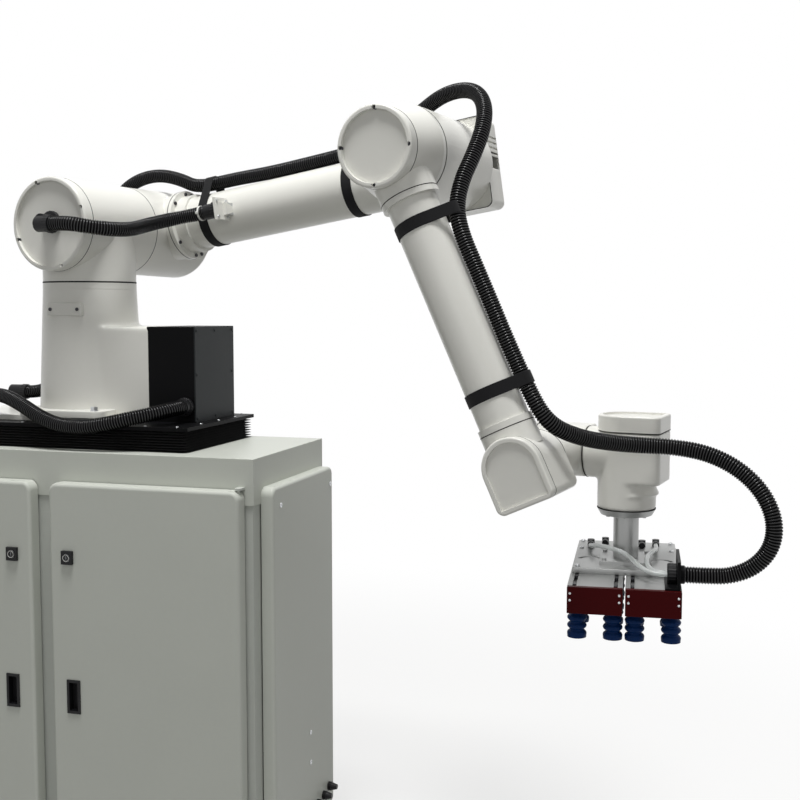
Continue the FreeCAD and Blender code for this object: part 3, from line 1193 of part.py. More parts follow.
one_frame = Placement(Vector(size("second_seam") - size("seam_gap"), size("wrist_plane"), 0),
                      Rotation(Y_AXIS, -Z_AXIS, -X_AXIS, "ZXY"))
one_depth = "(2 * second_seam - seam_gap)"
one = flat_ended("wrist_one_body", "wrist_stub_radius", "wrist_flat - 5", one_depth, one_frame)
sink(one, "wrist_one_hollow", "wrist_stub_radius - 8", "wrist_flat - 13", one_depth,
     f"{one_depth} - casting_wall")
neck = taper("wrist_one_neck", "wrist_radius", "wrist_stub_radius", "40",
             (0, "wrist_seam_y", 0), "y")
neck_run = rod("wrist_one_neck_run", "wrist_stub_radius", "wrist_plane - wrist_seam_y - 60",
               (0, "wrist_seam_y + 20", 0), "y")
neck_spigot = rod("wrist_one_spigot", "46 - pivot_clearance", "30", (0, "wrist_seam_y - 12", 0),
                  "y")
neck_bore = rod("wrist_one_neck_bore", "38", "wrist_plane - wrist_seam_y",
                (0, "wrist_seam_y - 20", 0), "y")
one_bore = rod("wrist_one_seam_bore", "46", "60", ("second_seam - 30", "wrist_plane", 0), "x")
node(carve("wrist_one_housing", fuse("wrist_one_blank", one, neck, neck_run, neck_spigot),
           neck_bore, one_bore), "wrist_one_housing", WRIST)
one_cover_frame = Placement(Vector(-size("second_seam") - 0.2, size("wrist_plane"), 0),
                            Rotation(Y_AXIS, -Z_AXIS, -X_AXIS, "ZXY"))
one_spots = ((-49, 0), (0, 49), (0, -49), (64, 40), (64, -40))
node(flat_cover("wrist_one_cover", "wrist_stub_radius", "wrist_flat - 5", "wrist_cover_depth",
                one_cover_frame, one_spots), "wrist_one_cover", WRIST)


# Second wrist, at the crossing of its own axis with the tool's: z runs up

two_low = -60
two = flat_ended("wrist_two_body", "wrist_radius", "wrist_flat + 2", "third_top + 60",
                 shift(0, 0, two_low))
sink(two, "wrist_two_hollow", "wrist_radius - 8", "wrist_flat - 6", "third_top + 60",
     "third_top + 60 - casting_wall")
two_solids = [
    two,
    rod("wrist_two_barrel", "wrist_radius", "third_seam - 50 - seam_gap",
        (0, 0, "seam_gap - third_seam")),
    taper("wrist_two_heel", "wrist_radius", "wrist_radius - 14", "26", (8, 0, two_low - 26)),
    rod("wrist_two_stub", "wrist_stub_radius", "tool_offset - second_seam",
        ("second_seam - tool_offset", 0, 0), "x"),
    rod("wrist_two_spigot", "46 - pivot_clearance", "30",
        ("second_seam - tool_offset - 12", 0, 0), "x"),
]
two_bores = [
    rod("wrist_two_barrel_bore", "50", "third_seam + 20", (0, 0, "-third_seam")),
    rod("wrist_two_stub_bore", "38", "tool_offset", ("second_seam - tool_offset - 20", 0, 0), "x"),
    rod("wrist_two_cover_room", "wrist_radius + 0.3", "third_cover", (0, 0, "third_top")),
]
node(carve("wrist_two_housing", fuse("wrist_two_blank", *two_solids), *two_bores),
     "wrist_two_housing", THIRD)
top_frame = shift(0, 0, size("third_top") + 0.2)
node(flat_cover("wrist_two_cover", "wrist_radius", "wrist_flat + 2", "third_cover", top_frame,
                ((-56, 0), (0, 56), (0, -56), (72, 46), (72, -46))), "wrist_two_cover", THIRD)


# Tool column: flange, tube and square foot, all on the tool's turning axis

column_top = "(-third_seam - tool_flange)"
column_low = f"({column_top} - column_length)"
column_solids = [
    taper("tool_flange", "tool_flange_radius", "wrist_radius", "tool_flange",
          (0, 0, column_top)),
    rod("tool_spigot", "50 - pivot_clearance", "20", (0, 0, "-third_seam")),
    rod("tool_column_tube", "column_radius", "column_length", (0, 0, column_low)),
    box("tool_foot", "column_foot", "column_foot", "foot_thickness",
        ("-column_foot / 2", "-column_foot / 2", f"{column_low} - foot_thickness")),
]
column_solids += screws("column_bolt", ring_spots(44, 6, 30), "z", column_top, -1, "4", "4")
column_solids += screws("foot_bolt", [(a, b) for a in (-45, 45) for b in (-45, 45)], "z",
                        column_low, 1, "5", "5")
column_bore = rod("tool_column_bore", "column_radius - column_wall",
                  "column_length + tool_flange + 60", (0, 0, f"{column_low} - 20"))
node(carve("tool_column", fuse("tool_column_blank", *column_solids), column_bore),
     "tool_column", TOOL)

mount_top = f"({column_low} - foot_thickness)"
mount = box("mount_blank", "mount_width", "mount_depth", "mount_thickness",
            ("-mount_width / 2", "-mount_depth / 2", f"{mount_top} - mount_thickness"))
mount = soften("mount_corners", mount, 6, lambda edge: along(edge, 2))
mount_bolts = screws("mount_bolt", [(a, b) for a in (-92, 92) for b in (-44, 44)], "z",
                     mount_top, 1, "5", "4")
node(fuse("gripper_mount", mount, *mount_bolts), "gripper_mount", TOOL)

# Gripper bars: two slotted beams side by side, with air channels inside
bar_top = f"({mount_top} - mount_thickness)"
bar_width = "((gripper_width - gripper_gap) / 2)"
bar_length = "(gripper_depth - 2 * cap_thickness)"
bars, caps = [], []
for side, sign in (("left", -1), ("right", 1)):
    low_u = "gripper_gap / 2" if sign > 0 else f"-gripper_gap / 2 - {bar_width}"
    middle = f"({low_u} + {bar_width} / 2)"
    beam = box(side + "_beam", bar_width, bar_length, "gripper_height",
               (low_u, f"-{bar_length} / 2", f"{bar_top} - gripper_height"))
    cuts = [box(side + "_channel", f"{bar_width} - 36", f"{bar_length}", "gripper_height - 30",
                (f"{low_u} + 18", f"-{bar_length} / 2", f"{bar_top} - gripper_height + 10"))]
    for number, share in enumerate((-1, 1), start=1):
        line = f"({middle} + {share} * ({bar_width} / 2 - 14))"
        cuts.append(box(f"{side}_slot_{number}", "slot_width", bar_length, "slot_depth",
                        (f"{line} - slot_width / 2", f"-{bar_length} / 2",
                         f"{bar_top} - slot_depth")))
        cuts.append(box(f"{side}_undercut_{number}", "1.8 * slot_width", bar_length,
                        "slot_depth / 2", (f"{line} - 0.9 * slot_width", f"-{bar_length} / 2",
                                           f"{bar_top} - slot_depth")))
    outer_u = f"{low_u} + {bar_width} - slot_depth" if sign > 0 else low_u
    for number, drop in enumerate((14, 38), start=1):
        cuts.append(box(f"{side}_side_slot_{number}", "slot_depth", bar_length, "slot_width / 1.5",
                        (outer_u, f"-{bar_length} / 2", f"{bar_top} - {drop} - slot_width / 3")))
    bars.append(carve(side + "_bar", beam, *cuts))
    for end, way in (("front", -1), ("back", 1)):
        cap_y = f"{bar_length} / 2" if way > 0 else f"-{bar_length} / 2 - cap_thickness"
        cap = box(f"{side}_{end}_cap", bar_width, "cap_thickness", "gripper_height",
                  (low_u, cap_y, f"{bar_top} - gripper_height"))
        caps.append(soften(f"{side}_{end}_cap_edges", cap, 2, lambda edge: along(edge, 1)))
node(group("gripper_bars", *bars), "gripper_bars", TOOL)
node(group("gripper_end_caps", *caps), "gripper_end_caps", TOOL)

# Suction cups: soft bellows in four rows of four
cup_top = f"({bar_top} - gripper_height)"
fold_height = "((cup_height - 8) / cup_folds)"
cup_parts = [rod("cup_neck", "cup_radius - 8", "8", (0, 0, -8))]
for number in range(int(size("cup_folds"))):
    level = f"-8 - {number} * {fold_height}"
    cup_parts.append(taper(f"cup_upper_{number + 1}", "cup_radius", "cup_radius - 8",
                           f"{fold_height} / 2", (0, 0, f"{level} - {fold_height} / 2")))
    if number + 1 < int(size("cup_folds")):
        cup_parts.append(taper(f"cup_lower_{number + 1}", "cup_radius - 8", "cup_radius",
                               f"{fold_height} / 2", (0, 0, f"{level} - {fold_height}")))
    else:
        cup_parts.append(taper(f"cup_lip", "cup_radius - 1", "cup_radius",
                               f"{fold_height} / 2", (0, 0, f"{level} - {fold_height}")))
cup_mouth = taper("cup_mouth", "cup_radius - 3", "7", f"{fold_height} * 0.8", (0, 0, "-cup_height"))
cup_bore = rod("cup_bore", "7", "cup_height - 14", (0, 0, "-cup_height"))
cup = carve("suction_cup", fuse("cup_blank", *cup_parts), cup_mouth, cup_bore)
doc.recompute()
half_pair = size("cup_pair_pitch") / 2
bar_middle = (size("gripper_width") + size("gripper_gap")) / 4
top_level = -(size("third_seam") + size("tool_flange") + size("column_length")
              + size("foot_thickness") + size("mount_thickness") + size("gripper_height"))
cups = []
for row in range(int(size("cup_rows"))):
    cup_t = (row - (size("cup_rows") - 1) / 2) * size("cup_row_pitch")
    for cup_u in (-bar_middle - half_pair, -bar_middle + half_pair,
                  bar_middle - half_pair, bar_middle + half_pair):
        cups.append(cup.Shape.translated(Vector(cup_u, cup_t, top_level)))
node(solid("suction_cups", Part.makeCompound(cups)), "suction_cups", TOOL)

# Upright bracket on the right bar that holds the hose's gland
bracket_low = bar_top
support = [
    box("support_plate", "6", "130", "58", (104, -205, bracket_low)),
    box("support_foot", "30", "130", "5", (80, -205, bracket_low)),
    rod("support_nut", "gland_radius", "19", (85, -150, f"{bracket_low} + 21.5"), "x"),
    rod("support_sleeve", "hose_radius + 1.5", "9", (110, -150, f"{bracket_low} + 21.5"), "x"),
]
node(fuse("hose_support_bracket", *support), "hose_support_bracket", TOOL)

fittings = []
for number, (fit_u, fit_t, turn) in enumerate(((-80, 140, "y"), (-48, 165, "y"),
                                               (35, 150, "y"), (66, 165, "y")), start=1):
    fittings.append(fuse(
        f"air_fitting_{number}",
        rod(f"fitting_stem_{number}", "8", "20", (fit_u, fit_t, bar_top)),
        rod(f"fitting_arm_{number}", "7", "24", (fit_u, fit_t - 24, f"{bar_top} + 20"), turn),
        rod(f"fitting_knee_{number}", "8", "10", (fit_u, fit_t, f"{bar_top} + 18")),
    ))
node(group("air_fittings", *fittings), "air_fittings", TOOL)


# Hoses on the arm, in the frame of the turned arm
shoulder_route = [(40.2, -173.5, 131), (86.4, -173.5, 131), (128.1, -154.6, 123),
                  (158.2, -120.3, 118.5), (171.6, -76.5, 119.5), (165.7, -31.2, 125),
                  (141.6, 7.7, 132), (135.8, 53, 141), (149.1, 96.8, 151.5),
                  (179.3, 131.1, 162), (219.9, 150, 170.5), (242.5, 150, 173.85)]
hose("shoulder_hose", shoulder_route, size("hose_radius"), ARM)

base_route = [(-311.1, 107.2, -286), (-271, 113.2, -286), (-228, 116, -260), (-198, 134, -206),
              (-176, 156, -140), (-160, 182, -70), (-152, 204, 0), (-147, 224, 74),
              (-144, 237, 134),
              (-134, 243, 186), (-100, 247, 244), (-44, 249, 277), (24, 249, 287),
              (92, 248, 273), (150, 247, 247.3), (206, 247, 255.6)]
hose("base_hose", base_route, size("hose_radius"), ARM)

arm_route = [(206.3, 247, 255.65), (262, 247, 263.9), (372, 248, 274.8), (482, 246.5, 291.2),
             (582, 246.6, 307), (668, 243, 326), (740, 227, 354), (806, 199, 386),
             (868, 167, 410), (930, 134, 414), (982, 98, 398), (1014, 62, 360),
             (1024, 26, 308), (1016, -8, 250), (1003, -40, 196), (1000, -63, 138),
             (1017, -71.4, 84), (1044, -71, 26), (1081.5, -70.6, -55.8), (1119.9, -71, -140.8),
             (1157.8, -71, -217)]
hose("arm_hose", arm_route, size("hose_radius"), ARM)

wrist_route = [(1158, -71, -217.4), (1180, -70.8, -261.5), (1209, -52, -300), (1247, 0, -324),
               (1292, 56, -338), (1346, 98, -345), (1412, 116, -347), (1480, 114, -356),
               (1541.4, 108, -382.5), (1588.7, 104, -425.6), (1614.2, 102, -480.7),
               (1609.8, 104, -535.7), (1577.2, 106, -578.7), (1530.9, 104, -600.6),
               (1486.8, 92.6, -602.4), (1444, 82.5, -601.9)]
hose("wrist_hose", wrist_route, size("hose_radius"), ARM)

air_routes = [
    [(84.8, -158, -226), (60, -158, -226), (32, -138, -219), (14, -98, -210), (-6, -56, -205),
     (-34, -18, -205), (-58, 22, -209), (-74, 62, -218), (-80, 96, -227), (-80, 115.8, -227.5)],
    [(84.8, -142, -226), (66, -142, -226), (48, -122, -222), (43, -82, -216),
     (48, -36, -213), (58, 10, -215), (65, 56, -220), (66, 98, -226.6), (66, 140.8, -227.5)],
]
air_routes = [[Vector(*point) for point in route] for route in air_routes]
tubes = [hose_shape(route, size("air_tube_radius")) for route in air_routes]
for number, (tube, length, bend, ratio) in enumerate(tubes, start=1):
    print(f"air tube {number}: length {length:.0f}, tightest bend {bend:.0f}, ratio {ratio:.4f}")
node(solid("air_tubes", Part.makeCompound([tube for tube, _, _, _ in tubes])), "air_tubes", TOOL)


# Every object is sound before anything is written
doc.recompute()
for item in doc.Objects:
    if "Invalid" in item.State or "Error" in item.State:
        raise RuntimeError(f"{item.Name} failed: {item.State}")
for item in nodes:
    if item.Shape.isNull() or not item.Shape.isValid():
        raise RuntimeError(f"{item.Label} has no sound shape")

os.makedirs("parts", exist_ok=True)
for item in nodes:
    shape = item.Shape
    bounds = shape.BoundBox
    print(f"{item.Label}: {len(shape.Solids)} solids, {shape.Volume / 1000:.1f} cm3, "
          f"x {bounds.XMin:.0f}..{bounds.XMax:.0f}, y {bounds.YMin:.0f}..{bounds.YMax:.0f}, "
          f"z {bounds.ZMin:.0f}..{bounds.ZMax:.0f}")
    shape.exportStep(f"parts/{item.Label}.step")
print(len(nodes), "nodes")
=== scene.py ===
"""The look of a palletizing robot: a six-axis arm on a lifting cabinet, with a vacuum gripper.

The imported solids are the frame. This script gives each of them its finish, replaces the soft
parts with detailed meshes and adds the straps, screws and corrugated hoses. Lengths are in metres.
"""
from __future__ import annotations

import json
import logging
import math
from dataclasses import dataclass, field
from enum import Enum
from typing import Iterable, Sequence

import bmesh
import bpy
from mathutils import Matrix, Vector

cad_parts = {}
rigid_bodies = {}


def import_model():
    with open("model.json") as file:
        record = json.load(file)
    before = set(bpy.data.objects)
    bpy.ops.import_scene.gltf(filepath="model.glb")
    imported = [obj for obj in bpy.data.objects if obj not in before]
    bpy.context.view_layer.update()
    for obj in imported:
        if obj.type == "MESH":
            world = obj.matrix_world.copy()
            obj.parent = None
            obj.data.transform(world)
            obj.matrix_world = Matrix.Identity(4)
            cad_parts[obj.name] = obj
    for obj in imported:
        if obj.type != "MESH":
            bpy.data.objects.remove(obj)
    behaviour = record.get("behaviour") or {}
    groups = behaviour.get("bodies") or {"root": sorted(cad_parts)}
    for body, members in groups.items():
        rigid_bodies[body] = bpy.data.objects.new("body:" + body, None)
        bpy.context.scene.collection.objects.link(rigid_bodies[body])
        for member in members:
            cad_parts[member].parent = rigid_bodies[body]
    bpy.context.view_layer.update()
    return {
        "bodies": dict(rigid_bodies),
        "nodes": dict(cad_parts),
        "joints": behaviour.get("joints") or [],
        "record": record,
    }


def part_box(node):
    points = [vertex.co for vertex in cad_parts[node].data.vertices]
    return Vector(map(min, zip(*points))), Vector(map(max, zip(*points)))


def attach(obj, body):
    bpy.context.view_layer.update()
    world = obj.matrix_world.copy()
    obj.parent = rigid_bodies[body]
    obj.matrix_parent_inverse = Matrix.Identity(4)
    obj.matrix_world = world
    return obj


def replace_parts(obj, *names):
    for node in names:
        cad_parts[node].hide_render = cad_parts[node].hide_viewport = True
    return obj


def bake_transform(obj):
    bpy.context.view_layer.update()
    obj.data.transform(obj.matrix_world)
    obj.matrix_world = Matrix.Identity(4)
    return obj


LOG = logging.getLogger("palletizing_robot")
HOSE_RADIUS = 0.0172

Point = tuple[float, float, float]
Colour = tuple[float, float, float]
Outline = list[tuple[float, float]]
Ring = list[bmesh.types.BMVert]


@dataclass(frozen=True)
class Layout:
    """Where the links stand at rest, as the solids have them."""

    arm_x: float = -0.020
    arm_y: float = 0.018
    cabinet_top: float = 1.010
    plate_top: float = 1.0675
    seam_height: float = 1.3995
    arm_swing: float = 8.5
    shoulder_height: float = 0.134
    upper_tilt: float = 8.4
    upper_length: float = 0.865
    forearm_tilt: float = 65.2
    forearm_length: float = 0.701
    wrist_plane: float = 0.201
    tool_offset: float = 0.1435
    tool_swing: float = 4.8

    @property
    def lift(self) -> Matrix:
        """The frame of the lift's top plate."""
        return Matrix.Translation((self.arm_x, self.arm_y, self.plate_top))

    @property
    def arm(self) -> Matrix:
        """The frame of the turned arm, at the turning seam."""
        turn = Matrix.Rotation(math.radians(-self.arm_swing), 4, "Z")
        return Matrix.Translation((self.arm_x, self.arm_y, self.seam_height)) @ turn

    @property
    def upper(self) -> Matrix:
        """The frame of the upper arm: x along it, z up from it."""
        tilt = Matrix.Rotation(math.radians(-self.upper_tilt), 4, "Y")
        return self.arm @ Matrix.Translation((0.0, 0.0, self.shoulder_height)) @ tilt

    @property
    def elbow_place(self) -> Vector:
        """The elbow axis in the frame of the arm."""
        tilt = math.radians(self.upper_tilt)
        return Vector((self.upper_length * math.cos(tilt), 0.0,
                       self.shoulder_height + self.upper_length * math.sin(tilt)))

    @property
    def forearm(self) -> Matrix:
        """The frame of the forearm: x down along it, z away from the lower side."""
        tilt = Matrix.Rotation(math.radians(self.forearm_tilt), 4, "Y")
        return self.arm @ Matrix.Translation(self.elbow_place) @ tilt

    @property
    def wrist_place(self) -> Vector:
        """The first wrist axis in the frame of the arm."""
        tilt = math.radians(self.forearm_tilt)
        reach = Vector((math.cos(tilt), 0.0, -math.sin(tilt)))
        return self.elbow_place + reach * self.forearm_length

    @property
    def wrist(self) -> Matrix:
        """The frame of the first wrist, parallel to the arm's own."""
        return self.arm @ Matrix.Translation(self.wrist_place)

    @property
    def third(self) -> Matrix:
        """The frame where the second wrist axis crosses the tool's axis."""
        return self.wrist @ Matrix.Translation((self.tool_offset, self.wrist_plane, 0.0))

    @property
    def tool(self) -> Matrix:
        """The frame of the tool, turned back past the cabinet's line."""
        turn = math.radians(self.arm_swing + self.tool_swing)
        return self.third @ Matrix.Rotation(turn, 4, "Z")

    def link(self, name: str) -> Matrix:
        """The frame of a link by its name."""
        return {"lift": self.lift, "arm": self.arm, "upper": self.upper,
                "forearm": self.forearm, "wrist": self.wrist, "third": self.third,
                "tool": self.tool}[name]


@dataclass(frozen=True)
class Finish:
    """One surface: its colour and how it takes the light.

    Attributes:
        name: Name of the material.
        slot: The record's material slot meant for its pieces; not used.
        colour: Base colour, linear.
        roughness: Mean roughness.
        metallic: Share of metal.
        coat: Strength of a clear coat.
        sheen: Strength of a cloth's soft sheen.
        shine: Strength of the plain reflection, 0.5 as usual.
        grain_size: Size of the surface's fine texture, in metres.
        grain_depth: Depth of that texture, in metres.
        mottle: Share by which the colour varies over the surface.
        rough_spread: Share by which the roughness varies.
        edge_wear_and_highlight: Share of lightening along edges, partly wear and partly a painted
            highlight.
        bevel: Radius by which the light rounds an edge, in metres.
        see_through: Share of light that passes through.
        stretch: How much longer the texture is along z than across it.
    """

    name: str
    slot: str
    colour: Colour
    roughness: float
    metallic: float = 0.0
    coat: float = 0.0
    sheen: float = 0.0
    shine: float = 0.5
    grain_size: float = 0.002
    grain_depth: float = 0.00002
    mottle: float = 0.03
    rough_spread: float = 0.12
    # Lightening along edges: partly wear, partly a painted highlight.
    edge_wear_and_highlight: float = 0.0
    bevel: float = 0.0
    see_through: float = 0.0
    stretch: float = 1.0


class Finishes(Enum):
    """Every finish on the robot."""

    # On the white and grey paints the lighter edges are mostly a painted highlight.
    ARM_PAINT = Finish("arm_paint", "arm_paint", (0.79, 0.785, 0.735), 0.32, coat=0.12,
                       grain_size=0.0022, grain_depth=0.000035, mottle=0.012, edge_wear_and_highlight=0.25,
                       bevel=0.0015)
    CABINET_PAINT = Finish("cabinet_paint", "cabinet_paint", (0.60, 0.62, 0.565), 0.42, shine=0.35,
                           grain_size=0.0016, grain_depth=0.00004, mottle=0.015,
                           edge_wear_and_highlight=0.35, bevel=0.001)
    FRAME_PAINT = Finish("frame_paint", "cabinet_paint", (0.55, 0.57, 0.53), 0.46,
                         grain_size=0.0016, grain_depth=0.00004, mottle=0.02, bevel=0.001)
    BLACK_PLATE = Finish("black_plate", "black_plate", (0.004, 0.004, 0.0045), 0.40,
                         shine=0.06, grain_size=0.0012, grain_depth=0.00003, mottle=0.03,
                         edge_wear_and_highlight=0.06, bevel=0.0008)
    SLATE_PAINT = Finish("slate_paint", "slate_cover", (0.020, 0.0235, 0.025), 0.42, shine=0.12,
                         grain_size=0.0014, grain_depth=0.00004, mottle=0.02, edge_wear_and_highlight=0.10,
                         bevel=0.0008)
    BLACK_PLASTIC = Finish("black_plastic", "black_plastic", (0.009, 0.009, 0.010), 0.38,
                           shine=0.25, grain_size=0.0009, grain_depth=0.00002,
                           mottle=0.03, edge_wear_and_highlight=0.06, bevel=0.0006)
    # Painted shade of the gaps between castings, laid on as thin dark bands.
    JOINT_SHADOW = Finish("joint_gap_shade", "black_plastic", (0.014, 0.014, 0.014), 0.70, shine=0.1,
                          grain_size=0.0006, grain_depth=0.00002, mottle=0.04)
    GASKET = Finish("gasket_rubber", "black_plastic", (0.010, 0.010, 0.010), 0.75, sheen=0.2,
                    grain_size=0.0008, grain_depth=0.00004, mottle=0.04)
    # Painted shade in the hose's grooves: darker and duller than the hose itself.
    HOSE_GROOVE_SHADE = Finish("hose_groove_shade", "hose_black", (0.0015, 0.0015, 0.0018), 0.60,
                         shine=0.04, grain_size=0.003, grain_depth=0.00001, mottle=0.04)
    HOSE_BLACK = Finish("hose_black", "hose_black", (0.005, 0.005, 0.0056), 0.20, shine=0.45,
                        grain_size=0.003, grain_depth=0.00001, mottle=0.04)
    BELLOWS_CLOTH = Finish("bellows_cloth", "bellows_fabric", (0.006, 0.006, 0.0065), 0.55,
                           sheen=0.03, shine=0.18, grain_size=0.0007,
                           grain_depth=0.00006, mottle=0.04)
    STRAP_WEBBING = Finish("strap_webbing", "bellows_fabric", (0.008, 0.008, 0.009), 0.85,
                           sheen=0.10, shine=0.2, grain_size=0.0010,
                           grain_depth=0.00016, mottle=0.04)
    ZINC = Finish("zinc_plate", "zinc_steel", (0.56, 0.57, 0.58), 0.34, metallic=1.0,
                  grain_size=0.0010, grain_depth=0.00002, mottle=0.02, bevel=0.0004)
    DARK_STEEL = Finish("dark_screw_steel", "zinc_steel", (0.05, 0.05, 0.055), 0.36,
                        metallic=0.8, grain_size=0.0008, grain_depth=0.00001, mottle=0.03,
                        bevel=0.0003)
    GROUND_STEEL = Finish("ground_steel", "machined_steel", (0.60, 0.61, 0.63), 0.22,
                          metallic=1.0, grain_size=0.0008, grain_depth=0.00001, mottle=0.02,
                          stretch=12.0)
    ANODISED = Finish("clear_anodised", "tool_aluminium", (0.40, 0.405, 0.40), 0.40,
                      metallic=0.65, grain_size=0.0009, grain_depth=0.00002, mottle=0.02,
                      edge_wear_and_highlight=0.25, bevel=0.0006, stretch=6.0)
    CAST_GREY = Finish("cast_grey", "drive_black", (0.10, 0.105, 0.11), 0.50, metallic=0.2,
                       grain_size=0.0022, grain_depth=0.00012, mottle=0.04, bevel=0.0012)
    CASE_GREY = Finish("case_grey", "control_paint", (0.17, 0.18, 0.19), 0.45,
                       grain_size=0.0014, grain_depth=0.00004, mottle=0.02, bevel=0.001)
    CAP_RED = Finish("cap_red", "cap_red", (0.050, 0.0008, 0.0015), 0.42, shine=0.08,
                     grain_size=0.0010, grain_depth=0.00003, mottle=0.03, edge_wear_and_highlight=0.12,
                     bevel=0.0006)
    CUP_BLUE = Finish("cup_blue", "cup_blue", (0.0015, 0.022, 0.10), 0.42, shine=0.12,
                      grain_size=0.0016, grain_depth=0.00003, mottle=0.03)
    CLEAR_TUBE = Finish("clear_tube", "clear_tube", (0.78, 0.81, 0.80), 0.22, grain_size=0.004,
                        grain_depth=0.00001, mottle=0.02, see_through=0.45)
    TIE_WHITE = Finish("tie_white", "clear_tube", (0.74, 0.74, 0.71), 0.45, grain_size=0.0012,
                       grain_depth=0.00002, mottle=0.02)


NODE_FINISHES: dict[Finishes, tuple[str, ...]] = {
    Finishes.CABINET_PAINT: ("top_cover", "side_panels", "back_panel", "left_door_panel",
                             "right_door_panel"),
    Finishes.FRAME_PAINT: ("base_frame", "anchor_feet", "door_lugs"),
    Finishes.BLACK_PLASTIC: ("left_door_fittings", "right_door_fittings", "cable_glands",
                             "hose_glands", "shoulder_gland", "air_fittings"),
    Finishes.ZINC: ("left_upper_cam", "left_lower_cam", "right_upper_cam", "right_lower_cam",
                    "pedestal_bolts"),
    Finishes.GROUND_STEEL: ("guide_posts", "lift_screw"),
    Finishes.ANODISED: ("lift_yoke", "lift_guide_deck", "tool_column", "gripper_mount",
                        "gripper_bars"),
    Finishes.CAST_GREY: ("lift_motor", "vacuum_pump"),
    Finishes.CASE_GREY: ("control_unit",),
    Finishes.BELLOWS_CLOTH: ("lift_bellows",),
    Finishes.BLACK_PLATE: ("lift_top_plate", "junction_box", "hose_support_bracket"),
    Finishes.SLATE_PAINT: ("junction_box_cover",),
    Finishes.ARM_PAINT: ("adapter_plate", "pedestal", "turret_housing", "shoulder_cover",
                         "shoulder_housing", "upper_arm_tube", "elbow_drive_housing",
                         "elbow_drive_cover", "hose_bracket", "elbow_housing", "elbow_cover",
                         "forearm_tube", "wrist_drive_housing", "wrist_drive_cover",
                         "wrist_one_housing", "wrist_one_cover", "wrist_two_housing",
                         "wrist_two_cover"),
    Finishes.HOSE_BLACK: ("junction_hose", "base_hose", "shoulder_hose", "arm_hose",
                          "wrist_hose"),
    Finishes.CAP_RED: ("gripper_end_caps",),
    Finishes.CUP_BLUE: ("suction_cups",),
    Finishes.CLEAR_TUBE: ("air_tubes",),
}

Socket = bpy.types.NodeSocket


class Graph:
    """A short way to lay out shader nodes and their links."""

    def __init__(self, tree: bpy.types.NodeTree) -> None:
        self.tree = tree

    def node(self, kind: str, **values: object) -> bpy.types.Node:
        """Adds a node and feeds its named inputs.

        Args:
            kind: The node's type, without the common start of its name.
            values: A value or an output for each input, an underscore for a space.

        Returns:
            The node.
        """
        item = self.tree.nodes.new("ShaderNode" + kind)
        for label, value in values.items():
            self.feed(item.inputs[label.replace("_", " ")], value)
        return item

    def feed(self, socket: Socket, value: object) -> None:
        """Links an output to a socket, or gives the socket a plain value."""
        if isinstance(value, Socket):
            self.tree.links.new(value, socket)
        else:
            socket.default_value = value

    def group(self, tree: bpy.types.NodeTree, **values: object) -> bpy.types.Node:
        """Places a shared group and feeds its named inputs.

        Args:
            tree: The group.
            values: A value or an output for each input.

        Returns:
            The node.
        """
        item = self.node("Group")
        item.node_tree = tree
        for label, value in values.items():
            self.feed(item.inputs[label], value)
        return item

    def math(self, operation: str, *values: object, clamp: bool = False) -> Socket:
        """Adds a sum.

        Args:
            operation: The kind of sum.
            values: Its values or outputs, in order.
            clamp: Whether the result stays between 0 and 1.

        Returns:
            The result.
        """
        item = self.node("Math")
        item.operation = operation
        item.use_clamp = clamp
        for socket, value in zip(item.inputs, values):
            self.feed(socket, value)
        return item.outputs[0]

    def vector(self, operation: str, *values: object) -> bpy.types.Node:
        """Adds a sum of vectors.

        Args:
            operation: The kind of sum.
            values: Its vectors, in order.

        Returns:
            The node, whose outputs are Vector and Value.
        """
        item = self.node("VectorMath")
        item.operation = operation
        for socket, value in zip(item.inputs, values):
            self.feed(socket, value)
        return item

    def mixed(self, share: object, first: object, second: object) -> Socket:
        """Adds a mix of two colours.

        Args:
            share: Share of the second colour.
            first: The first colour.
            second: The second colour.

        Returns:
            The mixed colour.
        """
        item = self.node("Mix")
        item.data_type = "RGBA"
        colours = [socket for socket in item.inputs if socket.type == "RGBA"]
        self.feed(item.inputs["Factor"], share)
        self.feed(colours[0], first)
        self.feed(colours[1], second)
        return next(socket for socket in item.outputs if socket.type == "RGBA")


